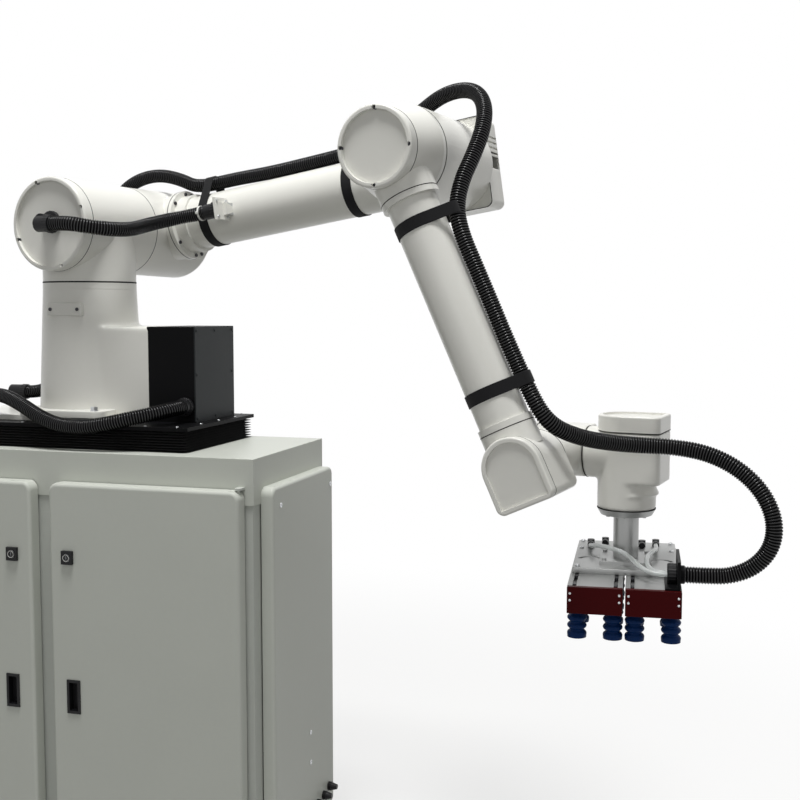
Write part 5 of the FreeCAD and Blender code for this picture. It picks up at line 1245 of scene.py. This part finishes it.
NUTS: dict[str, RibbedNut] = {
    "shoulder_gland_ring": RibbedNut("turret", "arm", (0.005, -0.1324, 0.138), (0, -1, 0),
                                     0.0262, 0.0082),
    "shoulder_sleeve_ring": RibbedNut("turret", "arm", (0.025, -0.1735, 0.131), (1, 0, 0),
                                      0.0200, 0.0145),
    "box_gland_ring": RibbedNut("lift", "lift", (0.291, -0.0662, 0.037), (0, -1, 0), 0.0222,
                                0.0100),
    "front_plate_ring": RibbedNut("lift", "lift", (-0.304, -0.100, 0.0130), (0, 0, 1), 0.0252,
                                  0.0100),
    "rear_plate_ring": RibbedNut("lift", "lift", (-0.330, 0.152, 0.0010), (0, 0, 1), 0.0252,
                                 0.0100),
    "front_sleeve_ring": RibbedNut("lift", "lift", (-0.282, -0.100, 0.056), (1, 0, 0), 0.0200,
                                   0.0155),
    "rear_sleeve_ring": RibbedNut("lift", "lift", (-0.308, 0.152, 0.046), (1, 0, 0), 0.0200,
                                  0.0155),
    "bracket_gland_ring": RibbedNut("upper_arm", "upper", (0.2705, 0.150, 0.004), (1, 0, 0),
                                    0.0222, 0.0150),
    "support_gland_ring": RibbedNut("tool", "tool", (0.0860, -0.150, -0.226), (1, 0, 0),
                                    0.0222, 0.0170),
}


@dataclass(frozen=True)
class Glands:
    """The ridged nuts on the hose glands."""

    builder: Builder
    layout: Layout
    ridges: int = 20
    ridge_depth: float = 0.0009
    wall: float = 0.0016

    def build(self) -> None:
        """Makes every ridged nut."""
        for name, nut in NUTS.items():
            mesh = bmesh.new()
            outer = ridged(nut.radius, self.ridge_depth, self.ridges)
            inner = circle(nut.radius - self.wall, len(outer))
            frame = self.layout.link(nut.link) @ facing(nut.place, nut.ahead)
            Builder.band(mesh, outer, inner, 0.0, nut.length, frame, self.ridge_depth)
            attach(self.builder.piece(name, mesh, Finishes.BLACK_PLASTIC), nut.body)


@dataclass(frozen=True)
class Cabinet:
    """The doors' gaskets, the locks' faces and the side panels' screws."""

    builder: Builder
    door_low: float = 0.076
    door_high: float = 0.942
    door_inner: float = 0.0245
    door_outer: float = 0.4945
    door_back: float = -0.212
    gasket_width: float = 0.010
    gasket_depth: float = 0.0052
    gasket_inset: float = 0.006
    lock_across: float = 0.0725
    lock_levels: tuple[float, float] = (0.774, 0.130)
    lock_radius: float = 0.0088
    collar_front: float = -0.252
    slot_half_width: float = 0.0014
    slot_half_height: float = 0.0048

    def gasket(self, side: str, sign: int) -> None:
        """Lays the soft gasket behind a door, along its edges.

        Args:
            side: The door's side.
            sign: The sign of x on that side.
        """
        ends = sorted((sign * self.door_inner, sign * self.door_outer))
        inset, width = self.gasket_inset, self.gasket_width
        outer = rounded(ends[0] + inset, ends[1] - inset, self.door_low + inset,
                        self.door_high - inset, 0.016)
        inner = rounded(ends[0] + inset + width, ends[1] - inset - width,
                        self.door_low + inset + width, self.door_high - inset - width, 0.007)
        frame = Matrix(((1, 0, 0, 0), (0, 0, 1, 0), (0, 1, 0, 0), (0, 0, 0, 1)))
        mesh = bmesh.new()
        Builder.band(mesh, outer, inner, self.door_back + 0.0001,
                     self.door_back + self.gasket_depth, frame)
        piece = self.builder.piece(side + "_door_gasket", mesh, Finishes.GASKET)
        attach(piece, side + "_door")

    def lock_face(self, side: str, sign: int, name: str, level: float) -> None:
        """Puts a slotted disc and a pale ring on the front of a lock's barrel.

        Args:
            side: The door's side.
            sign: The sign of x on that side.
            name: Which lock of the door.
            level: The lock's height.
        """
        frame = facing((sign * self.lock_across, self.collar_front - 0.0010, level), (0, -1, 0))
        slot = []
        for number in range(48):
            angle = 2 * math.pi * number / 48
            across, up = math.cos(angle), math.sin(angle)
            slot.append((self.slot_half_width * math.copysign(abs(across) ** 0.4, across),
                         self.slot_half_height * math.copysign(abs(up) ** 0.4, up)))
        disc, rim = bmesh.new(), bmesh.new()
        Builder.band(disc, circle(self.lock_radius, 48), slot, 0.0001, 0.0009, frame)
        Builder.band(rim, circle(self.lock_radius - 0.0008, 48),
                     circle(self.lock_radius - 0.0019, 48), 0.0009, 0.0013, frame)
        body = f"{side}_{name}_lock"
        face = self.builder.piece(body + "_face", disc, Finishes.BLACK_PLASTIC)
        mark = self.builder.piece(body + "_ring", rim, Finishes.TIE_WHITE)
        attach(face, body)
        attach(mark, body)

    def panel_screws(self) -> None:
        """Sets flat screws in the side panels."""
        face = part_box("side_panels")[1].x
        spots = ((-0.128, 0.898), (0.186, 0.900), (0.044, 0.314), (0.044, 0.240),
                 (-0.150, 0.120), (0.186, 0.120))
        places = [facing((sign * face, y, z), (sign, 0, 0)) for sign in (-1, 1)
                  for y, z in spots]
        flat = Screws(self.builder, ScrewSize(0.0060, 0.0018, 0.0022, 0.0014))
        flat.group("side_panel_screws", places, "cabinet", Finishes.ZINC)

    def build(self) -> None:
        """Makes the cabinet's pieces."""
        for side, sign in (("left", -1), ("right", 1)):
            self.gasket(side, sign)
            for name, level in zip(("upper", "lower"), self.lock_levels):
                self.lock_face(side, sign, name, level)
        self.panel_screws()


@dataclass(frozen=True)
class Lift:
    """The bellows and the top plate's screws."""

    builder: Builder
    folds: int = 8
    steps: int = 6
    pleat_depth: float = 0.013
    corner: float = 0.012
    wall: float = 0.0262
    screw_inset: float = 0.011
    end_inset: float = 0.03

    def bellows(self) -> None:
        """Makes soft pleats from the cabinet up to the lift; they stay where they are laid."""
        low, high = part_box("lift_bellows")
        mesh = bmesh.new()
        count = self.folds * self.steps

        def level_ring(level: float, inset: float) -> Ring:
            """Adds a ring of the sleeve at a level, drawn in by an inset."""
            line = rounded(low.x + inset, high.x - inset, low.y + inset, high.y - inset,
                           self.corner)
            return ring(mesh, line, level, Matrix())

        rings = []
        for number in range(count + 1):
            phase = 2 * math.pi * number / self.steps
            inset = self.pleat_depth * (0.5 - 0.5 * math.cos(phase)) ** 0.8
            rings.append(level_ring(low.z + (high.z - low.z) * number / count, inset))
        top, bottom = level_ring(high.z, self.wall), level_ring(low.z, self.wall)
        bridge(mesh, rings + [top, bottom, rings[0]])
        piece = self.builder.piece("pleated_bellows", mesh, Finishes.BELLOWS_CLOTH,
                                   smooth_angle=60.0)
        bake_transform(piece)
        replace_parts(piece, "lift_bellows")

    def plate_screws(self) -> None:
        """Adds a row of small screws along the top plate's edges."""
        low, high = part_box("lift_top_plate")
        along, inset = 8, self.screw_inset
        start, length = low.x + self.end_inset, high.x - low.x - 2 * self.end_inset
        spots = [(start + length * number / along, y) for number in range(along + 1)
                 for y in (low.y + inset, high.y - inset)]
        spots += [(high.x - inset, low.y + (high.y - low.y) * number / 4)
                  for number in (1, 2, 3)]
        frames = [facing((x, y, high.z), (0, 0, 1)) for x, y in spots]
        small = Screws(self.builder, ScrewSize(0.0035, 0.002, 0.0015, 0.0012))
        small.group("top_plate_screws", frames, "lift", Finishes.ZINC)

    def build(self) -> None:
        """Makes the lift's pieces."""
        self.bellows()
        self.plate_screws()


@dataclass(frozen=True)
class Pedestal:
    """The casting under the turning seam, run together with its saddle to the box."""

    builder: Builder
    layout: Layout
    height: float = 0.320
    low_radius: float = 0.125
    top_radius: float = 0.111
    saddle_height: float = 0.213
    foot_width: float = 0.226
    foot_depth: float = 0.306
    foot_thickness: float = 0.016
    pad_height: float = 0.254
    pad_pitch: float = 0.073
    pad_face: float = -0.1165
    pad_half_height: float = 0.016
    pad_end: float = 0.011
    pad_depth: float = 0.030
    foot_corner: float = 0.024
    rim_width: float = 0.012
    rim_height: float = 0.018
    voxel: float = 0.0035
    rounds: int = 26

    @property
    def frame(self) -> Matrix:
        """The frame of the casting's foot."""
        return self.layout.lift @ Matrix.Translation((0.0, 0.0, 0.012))

    def welded(self) -> bmesh.types.BMesh:
        """Runs the stem and the saddle together with a soft fillet."""
        mesh = bmesh.new()
        Builder.turned(mesh, ((0.0, 0.0), (self.low_radius, 0.0), (self.top_radius, self.height),
                              (0.0, self.height)), self.frame, 96)
        saddle = [(-0.020, -0.111), (0.199, -0.0645), (0.199, 0.1225), (-0.020, 0.111)]
        Builder.prism(mesh, saddle, 0.001, self.saddle_height, self.frame)
        item = self.builder.piece("stem_and_saddle", mesh, Finishes.ARM_PAINT)
        return filleted(item, self.voxel, self.rounds)

    def build(self) -> None:
        """Makes the casting with its foot, its top rim and its small pad."""
        frame = self.frame
        mesh = self.welded()
        half_x, half_y = self.foot_width / 2, self.foot_depth / 2
        Builder.prism(mesh, rounded(-half_x, half_x, -half_y, half_y, self.foot_corner), 0.0,
                      self.foot_thickness, frame, 0.002)
        Builder.band(mesh, circle(self.top_radius + 0.0006, 120),
                     circle(self.top_radius - self.rim_width, 120),
                     self.height - self.rim_height, self.height - 0.0002, frame, 0.0004)
        reach = self.pad_pitch / 2
        end, half = reach + self.pad_end, self.pad_half_height
        Builder.rounded_box(mesh, (-end, self.pad_face, self.pad_height - half),
                            (end, self.pad_face + self.pad_depth, self.pad_height + half), 0.004,
                            frame)
        casting = self.builder.piece("pedestal_casting", mesh, Finishes.ARM_PAINT)
        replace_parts(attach(casting, "lift"), "pedestal")
        spots = [frame @ facing((side * reach, self.pad_face, self.pad_height), (0, -1, 0))
                 for side in (-1, 1)]
        Screws(self.builder, ScrewSize(0.0042, 0.0026, 0.0019, 0.0014)).group(
            "pedestal_pad_screws", spots, "lift", Finishes.DARK_STEEL)


@dataclass(frozen=True)
class Seam:
    """A thin dark band round a casting: painted shade of the joint's gap.

    Attributes:
        body: The body that it rides.
        link: The link whose frame it stands in.
        place: Its centre.
        ahead: The direction across the joint.
        radius: The casting's radius there.
        flat: Its flat end's distance from the centre, or none.
        across: The direction towards that flat end.
        width: Width of the joint.
    """

    body: str
    link: str
    place: Point
    ahead: Point
    radius: float
    flat: float = 0.0
    across: Point = (1.0, 0.0, 0.0)
    width: float = 0.0018


SEAMS: dict[str, Seam] = {
    "turning_seam": Seam("lift", "arm", (0, 0, -0.0008), (0, 0, 1), 0.1114,
                         width=0.0034),
    "shoulder_cover_seam": Seam("turret", "arm", (0, -0.1115, 0.134), (0, -1, 0), 0.1100),
    "shoulder_seam": Seam("turret", "arm", (0, 0.1262, 0.134), (0, -1, 0), 0.1100),
    "upper_flange_seam": Seam("upper_arm", "upper", (0.119, 0.247, 0), (1, 0, 0), 0.0880, 0.0,
                              (0, 1, 0)),
    "upper_end_seam": Seam("upper_arm", "upper", (0.758, 0.247, 0), (1, 0, 0), 0.0797, 0.0,
                           (0, 1, 0)),
    "drive_cover_seam": Seam("upper_arm", "upper", (0.865, 0.2500, 0), (0, 1, 0), 0.1050, 0.092),
    "elbow_seam": Seam("forearm", "forearm", (0, -0.0158, 0), (0, -1, 0), 0.1042),
    "elbow_cover_seam": Seam("forearm", "forearm", (0, -0.1180, 0), (0, -1, 0), 0.0842),
    "forearm_flange_seam": Seam("forearm", "forearm", (0.107, -0.071, 0), (1, 0, 0), 0.0620,
                                0.0, (0, 1, 0)),
    "forearm_end_seam": Seam("forearm", "forearm", (0.622, -0.071, 0), (1, 0, 0), 0.0580, 0.0,
                             (0, 1, 0)),
    "first_wrist_seam": Seam("wrist_one", "wrist", (0, 0.0210, 0), (0, 1, 0), 0.0625),
    "wrist_drive_cover_seam": Seam("forearm", "forearm", (0.701, -0.1181, 0), (0, -1, 0),
                                   0.0625, 0.080),
    "wrist_one_cover_seam": Seam("wrist_one", "wrist", (-0.0581, 0.201, 0), (-1, 0, 0), 0.0560,
                                 0.075, (0, 1, 0)),
    "second_wrist_seam": Seam("wrist_two", "wrist", (0.0588, 0.201, 0), (1, 0, 0), 0.0560, 0.0,
                              (0, 1, 0)),
    "wrist_two_cover_seam": Seam("wrist_two", "third", (0, 0, 0.0501), (0, 0, 1), 0.0625,
                                 0.082),
    "tool_seam": Seam("wrist_two", "third", (0, 0, -0.1178), (0, 0, 1), 0.0625),
}


@dataclass(frozen=True)
class WristCastings:
    """The two wrist housings, with the soft fillets of a casting."""

    builder: Builder
    frame: dict
    voxel: float = 0.0026
    rounds: int = 16

    def build(self) -> None:
        """Makes a filleted casting in place of each wrist housing."""
        for node, body in (("wrist_one_housing", "wrist_one"),
                           ("wrist_two_housing", "wrist_two")):
            item = bpy.data.objects.new(node + "_form", self.frame["nodes"][node].data.copy())
            bpy.context.scene.collection.objects.link(item)
            casting = self.builder.piece(body + "_casting",
                                         filleted(item, self.voxel, self.rounds),
                                         Finishes.ARM_PAINT, smooth_angle=60.0)
            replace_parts(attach(casting, body), node)


@dataclass(frozen=True)
class Arm:
    """The arm's dark joint bands of painted shade, its screws, straps and gland faces."""

    builder: Builder
    layout: Layout
    frame: dict
    tube_across: float = 0.247
    forearm_across: float = -0.071
    seam_proud: float = 0.00025
    seam_depth: float = 0.0010
    notch_inset: float = 0.007
    flange_face: float = 0.130
    flange_bolts: float = 0.0795
    tie_place: Point = (0.2285, 0.1500, 0.1718)
    tie_ahead: Point = (0.0226, 0.0, 0.00335)

    def round_cover(self, name: str, frame: Matrix, radius: float, face: float,
                    centre: float, turn: float, body: str) -> None:
        """Sets four screws in the notches of a round cover.

        Args:
            name: Name of the piece.
            frame: The cover's frame, its face towards -y.
            radius: The cover's radius.
            face: The y at which the screws' heads stand.
            centre: Height of the cover's centre.
            turn: Angle of the first notch, in degrees.
            body: The body that the cover belongs to.
        """
        reach = radius - self.notch_inset
        angles = [math.radians(90 * number + turn) for number in range(4)]
        frames = [frame @ facing((reach * math.cos(angle), face,
                                  centre + reach * math.sin(angle)), (0, -1, 0))
                  for angle in angles]
        Screws(self.builder).group(name, frames, body)

    def flat_cover(self, name: str, frame: Matrix, spots: Iterable[tuple[float, float]],
                   face: float, body: str) -> None:
        """Sets screws on a flat-ended cover.

        Args:
            name: Name of the piece.
            frame: The cover's own frame, z out of its face.
            spots: The screws' places across and up.
            face: The level of the screws' seats.
            body: The body that the cover belongs to.
        """
        frames = [frame @ facing((across, up, face), (0, 0, 1)) for across, up in spots]
        small = Screws(self.builder, ScrewSize(0.0033, 0.0028, 0.0015, 0.0014))
        small.group(name, frames, body)

    def seams(self) -> None:
        """Lays thin dark bands between the castings: painted shade of their gaps."""
        for name, seam in SEAMS.items():
            width, outside = seam.width, seam.radius + self.seam_proud
            inside = seam.radius - self.seam_depth
            if seam.flat:
                outer = flat_ended(outside, seam.flat + self.seam_proud)
                inner = flat_ended(inside, seam.flat - self.seam_depth)
            else:
                outer, inner = circle(outside, 120), circle(inside, 120)
            frame = self.layout.link(seam.link) @ turned_to(seam.place, seam.across, seam.ahead)
            mesh = bmesh.new()
            Builder.band(mesh, outer, inner, -width / 2, width / 2, frame)
            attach(self.builder.piece(name, mesh, Finishes.JOINT_SHADOW), seam.body)

    def flange_screws(self) -> None:
        """Sets the screws in the upper arm's flange."""
        frames = []
        for angle in (20, 50, 79, 98, 140, 218, 270, 288, 320, 350):
            turn = math.radians(angle)
            spot = (self.flange_face, self.tube_across + self.flange_bolts * math.cos(turn),
                    self.flange_bolts * math.sin(turn))
            frames.append(self.layout.upper @ facing(spot, (1, 0, 0)))
        Screws(self.builder, ScrewSize(0.0045, 0.0040, 0.0020, 0.0018)).group(
            "upper_flange_screws", frames, "upper_arm", Finishes.DARK_STEEL)

    def cover_screws(self) -> None:
        """Sets the screws in the notches of every cover."""
        layout = self.layout
        self.round_cover("shoulder_cover_screws", layout.arm, 0.110, -0.1315, 0.134, 20,
                         "turret")
        self.round_cover("elbow_cover_screws", layout.forearm, 0.084, -0.1380, 0.0, 65,
                         "forearm")
        self.flat_cover("wrist_drive_cover_screws",
                        layout.forearm @ turned_to((0.701, -0.1182, 0.0), (1, 0, 0), (0, -1, 0)),
                        ((-0.056, 0.0), (0.0, 0.056), (0.0, -0.056), (0.070, 0.046),
                         (0.070, -0.046)), 0.014, "forearm")
        self.flat_cover("wrist_one_cover_screws",
                        layout.wrist @ turned_to((-0.0582, 0.201, 0.0), (0, 1, 0), (-1, 0, 0)),
                        ((-0.049, 0.0), (0.0, 0.049), (0.0, -0.049), (0.064, 0.040),
                         (0.064, -0.040)), 0.014, "wrist_one")
        self.flat_cover("wrist_two_cover_screws",
                        layout.third @ turned_to((0.0, 0.0, 0.0502), (1, 0, 0), (0, 0, 1)),
                        ((-0.056, 0.0), (0.0, 0.056), (0.0, -0.056), (0.072, 0.046),
                         (0.072, -0.046)), 0.026, "wrist_two")

    def straps(self) -> None:
        """Wraps the straps and the tie round the hoses."""
        straps = Straps(self.builder)
        for name, along, lift in (("upper_strap_near", 0.212, 0.0902),
                                  ("upper_strap_far", 0.625, 0.0861)):
            straps.wrap(StrapPlace(name, along, "upper_arm"), self.layout.upper,
                        self.tube_across, 0.0667, lift)
        for name, along in (("forearm_strap_near", 0.172), ("forearm_strap_far", 0.545)):
            straps.wrap(StrapPlace(name, along, "forearm"), self.layout.forearm,
                        self.forearm_across, 0.0534, 0.0725)
        mesh = bmesh.new()
        frame = self.layout.arm @ facing(self.tie_place, self.tie_ahead)
        Builder.band(mesh, circle(0.0186, 40), circle(0.0171, 40), -0.0024, 0.0024, frame,
                     0.0003)
        Builder.rounded_box(mesh, (-0.0235, -0.0034, -0.0032), (-0.0178, 0.0034, 0.0032), 0.0006,
                            frame)
        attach(self.builder.piece("shoulder_hose_tie", mesh, Finishes.TIE_WHITE), "upper_arm")

    def gland_faces(self) -> None:
        """Gives the gland and the screws in the hose bracket their own finish."""
        item = self.frame["nodes"]["hose_bracket"]
        shading = self.builder.shading
        item.data.materials.append(shading.material(Finishes.BLACK_PLASTIC))
        item.data.materials.append(shading.material(Finishes.ZINC))
        back = self.layout.upper.inverted()
        for face in item.data.polygons:
            place = back @ face.center
            across = math.hypot(place.y - 0.150, place.z - 0.004)
            if place.x < 0.2862 and across < 0.0225:
                face.material_index = 1
            elif place.x > 0.2931 and across > 0.024:
                face.material_index = 2

    def build(self) -> None:
        """Makes the arm's pieces."""
        self.gland_faces()
        self.seams()
        self.cover_screws()
        self.flange_screws()
        self.straps()


@dataclass(frozen=True)
class Gripper:
    """The suction cups, the mounting plate, the screws and the air tubes."""

    builder: Builder
    layout: Layout
    cup_radius: float = 0.020
    cup_height: float = 0.056
    cup_top: float = -0.302
    neck_radius: float = 0.012
    neck_height: float = 0.008
    folds: int = 3
    fold_steps: int = 8
    cup_pitch: float = 0.118
    cup_pair: float = 0.072
    beam_across: float = 0.05775
    cap_reach: float = 0.212
    plate_low: float = -0.2474
    plate_high: float = -0.2351
    slot_across: float = 0.074
    slot_along: float = -0.004

    @property
    def cup_profile(self) -> list[tuple[float, float]]:
        """Radius and height pairs of a cup, from its neck to the hollow under its lip."""
        neck, radius, height = self.neck_radius, self.cup_radius, self.cup_height
        profile = [(0.0, 0.0), (neck - 0.001, 0.0), (neck, -0.001),
                   (neck, 0.001 - self.neck_height)]
        fold = (height - self.neck_height) / self.folds
        for number in range(self.folds):
            start = -self.neck_height - number * fold
            for part in range(self.fold_steps):
                phase = math.pi * (part + 0.5) / self.fold_steps
                wide = neck + (radius - neck) * math.sin(phase) ** 0.7
                if number == self.folds - 1 and phase > math.pi / 2:
                    wide = radius - 0.0005 * (phase - math.pi / 2)
                profile.append((wide, start - fold * (part + 0.5) / self.fold_steps))
        return profile + [(radius - 0.0006, -height), (radius - 0.003, -height + 0.0012),
                          (radius - 0.006, -height + 0.008), (0.007, -height + 0.012),
                          (0.0, -height + 0.012)]

    def cups(self) -> None:
        """Makes sixteen soft bellows cups."""
        mesh = bmesh.new()
        for row in range(4):
            for side in (-1, 1):
                for share in (-0.5, 0.5):
                    place = Matrix.Translation((side * self.beam_across + share * self.cup_pair,
                                                (row - 1.5) * self.cup_pitch, self.cup_top))
                    Builder.turned(mesh, self.cup_profile, self.layout.tool @ place, 28)
        cups = self.builder.piece("bellows_cups", mesh, Finishes.CUP_BLUE, smooth_angle=70.0)
        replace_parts(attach(cups, "tool"), "suction_cups")

    def cap_screws(self) -> None:
        """Sets screws in the red end caps."""
        frames = [self.layout.tool @ facing((side * across, way * self.cap_reach, level),
                                            (0, way, 0))
                  for side in (-1, 1) for across in (0.009, 0.107)
                  for level in (-0.261, -0.275) for way in (-1, 1)]
        Screws(self.builder, ScrewSize(0.0024, 0.0010, 0.0010, 0.0007)).group(
            "end_cap_screws", frames, "tool", Finishes.ZINC)

    def mounting_plate(self) -> None:
        """Makes the slotted plate between the column's foot and the bars."""
        tool = self.layout.tool
        outlines = [rounded(-0.110, 0.110, -0.092, 0.204, 0.006)]
        for side in (-1, 1):
            across, along = side * self.slot_across, self.slot_along
            outlines.append(corner_arcs(((across, along, 0.0300, 12, 168, 18),
                                         (across, along, 0.0215, 168, 12, 18))))
        plate = self.builder.cut_plate("slotted_mounting_plate", outlines, self.plate_low,
                                       self.plate_high, Finishes.ANODISED, tool, 0.0008)
        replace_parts(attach(plate, "tool"), "gripper_mount")
        frames = [tool @ facing((side * 0.100, along, self.plate_high), (0, 0, 1))
                  for side in (-1, 1) for along in (0.190, 0.110, -0.075)]
        Screws(self.builder, ScrewSize(0.0050, 0.0040, 0.0024, 0.0022)).group(
            "mounting_screws", frames, "tool", Finishes.ZINC)

    def slot_nuts(self) -> None:
        """Sets the nuts in the slots of the bars."""
        mesh = bmesh.new()
        for across in (-0.099, -0.0165, 0.0165, 0.099):
            for along in (-0.104, -0.178, 0.188):
                low = (across - 0.0036, along - 0.009, -0.2545)
                high = (across + 0.0036, along + 0.009, -0.2478)
                Builder.rounded_box(mesh, low, high, 0.0008, self.layout.tool)
        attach(self.builder.piece("slot_nuts", mesh, Finishes.DARK_STEEL), "tool")

    def build(self) -> None:
        """Makes the gripper's pieces."""
        self.cups()
        self.cap_screws()
        self.mounting_plate()
        self.slot_nuts()
        hoses = Hoses(self.builder)
        for route in AIR_TUBES:
            hoses.lay(route, self.layout.tool, Finishes.CLEAR_TUBE)


@dataclass(frozen=True)
class ViewPoint:
    """The camera at the photograph's angle."""

    place: Point = (1.520, -2.431, 1.3325)
    heading: tuple[float, float] = (-0.290, 0.957)
    pitch: float = 4.58
    lens: float = 50.7


@dataclass(frozen=True)
class Lamp:
    """A soft area light: where it stands, what it faces, its size and power."""

    name: str
    place: Point
    target: Point
    size: float
    power: float


@dataclass(frozen=True)
class StudioLight:
    """The studio's light: an even sky and lamps that stand mostly overhead."""

    sky: Colour = (1.0, 1.0, 0.985)
    sky_strength: float = 0.27
    floor: Colour = (0.36, 0.36, 0.355)
    floor_lift: float = 0.62
    floor_roughness: float = 0.75
    floor_size: float = 30.0
    fade_start: float = 0.9
    fade_end: float = 3.2
    lamps: tuple[Lamp, ...] = field(default_factory=lambda: (
        Lamp("key_light", (0.6, -0.9, 4.9), (0.4, 0.0, 1.2), 1.3, 142.0),
        Lamp("front_light", (1.2, -4.6, 2.6), (0.4, 0.0, 1.1), 2.4, 9.0),
        Lamp("side_light", (4.4, -0.6, 2.6), (0.5, 0.0, 1.0), 2.2, 8.0),
    ))


@dataclass(frozen=True)
class Studio:
    """The floor, the light and the camera."""

    plan: StudioLight

    @staticmethod
    def seen(graph: Graph) -> Socket:
        """Whether a ray shows the background: to the camera, in gloss or through glass."""
        rays = graph.node("LightPath").outputs
        gloss = graph.math("MAXIMUM", rays["Is Glossy Ray"], rays["Is Transmission Ray"])
        return graph.math("MAXIMUM", rays["Is Camera Ray"], gloss)

    def floor(self) -> None:
        """Lays a pale floor that runs out into white, and is no part of the robot."""
        mesh = bmesh.new()
        bmesh.ops.create_grid(mesh, x_segments=1, y_segments=1,
                              size=self.plan.floor_size)
        data = bpy.data.meshes.new("floor")
        mesh.to_mesh(data)
        mesh.free()
        item = bpy.data.objects.new("floor", data)
        bpy.context.scene.collection.objects.link(item)
        material = bpy.data.materials.new("pale_floor")
        material.use_nodes = True
        graph = Graph(material.node_tree)
        shader = material.node_tree.nodes["Principled BSDF"]
        white = (1.0, 1.0, 1.0, 1.0)
        for label, value in (("Base Color", (*self.plan.floor, 1.0)),
                             ("Roughness", self.plan.floor_roughness),
                             ("Emission Color", white)):
            graph.feed(shader.inputs[label], value)
        seen = self.seen(graph)
        graph.feed(shader.inputs["Emission Strength"],
                   graph.math("MULTIPLY", seen, self.plan.floor_lift))
        place = graph.node("NewGeometry").outputs["Position"]
        reach = graph.node("MapRange", Value=graph.vector("LENGTH", place).outputs["Value"],
                           From_Min=self.plan.fade_start, From_Max=self.plan.fade_end)
        reach.interpolation_type = "SMOOTHSTEP"
        glow = graph.node("Emission", Color=white, Strength=1.0)
        blend = graph.node("MixShader")
        graph.feed(blend.inputs[0], graph.math("MULTIPLY", reach.outputs["Result"], seen))
        graph.feed(blend.inputs[1], shader.outputs["BSDF"])
        graph.feed(blend.inputs[2], glow.outputs["Emission"])
        sink = material.node_tree.nodes["Material Output"]
        graph.feed(sink.inputs["Surface"], blend.outputs[0])
        data.materials.append(material)

    @staticmethod
    def aimed(name: str, data: bpy.types.ID, place: Point, aim: Vector) -> bpy.types.Object:
        """Stands a lamp or a camera at a place.

        Args:
            name: Its name.
            data: The lamp or the camera.
            place: Where it stands.
            aim: The direction in which it looks.

        Returns:
            The object.
        """
        item = bpy.data.objects.new(name, data)
        turn = aim.to_track_quat("-Z", "Y").to_matrix().to_4x4()
        item.matrix_world = Matrix.Translation(place) @ turn
        bpy.context.scene.collection.objects.link(item)
        return item

    def light(self) -> None:
        """Sets the sky and the area lights."""
        plan = self.plan
        world = bpy.data.worlds.new("studio")
        world.use_nodes = True
        graph = Graph(world.node_tree)
        sky = world.node_tree.nodes["Background"]
        seen = self.seen(graph)
        graph.feed(sky.inputs["Color"],
                   graph.mixed(seen, (*plan.sky, 1.0), (1.0, 1.0, 1.0, 1.0)))
        graph.feed(sky.inputs["Strength"],
                   graph.math("MULTIPLY_ADD", seen, 1.0 - plan.sky_strength, plan.sky_strength))
        bpy.context.scene.world = world
        for lamp in plan.lamps:
            data = bpy.data.lights.new(lamp.name, "AREA")
            data.shape = "DISK"
            data.size = lamp.size
            data.energy = lamp.power
            self.aimed(lamp.name, data, lamp.place, Vector(lamp.target) - Vector(lamp.place))

    def camera(self, view: ViewPoint) -> None:
        """Sets the camera at the photograph's viewpoint.

        Args:
            view: The viewpoint.
        """
        data = bpy.data.cameras.new("camera")
        data.sensor_width = 36.0
        data.lens = view.lens
        data.clip_end = 60.0
        slope = math.radians(view.pitch)
        aim = Vector((view.heading[0] * math.cos(slope), view.heading[1] * math.cos(slope),
                      -math.sin(slope)))
        bpy.context.scene.camera = self.aimed("camera", data, view.place, aim)


class Robot:
    """The whole robot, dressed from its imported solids."""

    def __init__(self, frame: dict) -> None:
        self.frame = frame
        self.layout = Layout()
        self.shading = Shading()
        self.builder = Builder(self.shading)

    def paint_nodes(self) -> None:
        """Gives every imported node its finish."""
        for finish, names in NODE_FINISHES.items():
            material = self.shading.material(finish)
            for name in names:
                data = self.frame["nodes"][name].data
                data.materials.clear()
                data.materials.append(material)

    def build(self) -> None:
        """Makes every piece that the solids don't show."""
        self.paint_nodes()
        hoses = Hoses(self.builder)
        hoses.lay(JUNCTION_HOSE, self.layout.lift, Finishes.HOSE_BLACK)
        for route in (SHOULDER_HOSE, BASE_HOSE, ARM_HOSE, WRIST_HOSE):
            hoses.lay(route, self.layout.arm, Finishes.HOSE_BLACK)
        Cabinet(self.builder).build()
        Lift(self.builder).build()
        Pedestal(self.builder, self.layout).build()
        WristCastings(self.builder, self.frame).build()
        Arm(self.builder, self.layout, self.frame).build()
        Glands(self.builder, self.layout).build()
        Gripper(self.builder, self.layout).build()


def main() -> None:
    """Builds the scene."""
    logging.basicConfig(level=logging.INFO, format="%(name)s: %(message)s")
    bpy.ops.wm.read_factory_settings(use_empty=True)
    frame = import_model()
    scene = bpy.context.scene
    scene.view_settings.view_transform = "Standard"
    robot = Robot(frame)
    studio = Studio(StudioLight())
    studio.camera(ViewPoint())
    studio.floor()
    studio.light()
    robot.build()
    bpy.context.view_layer.update()


if __name__ == "__main__":
    main()
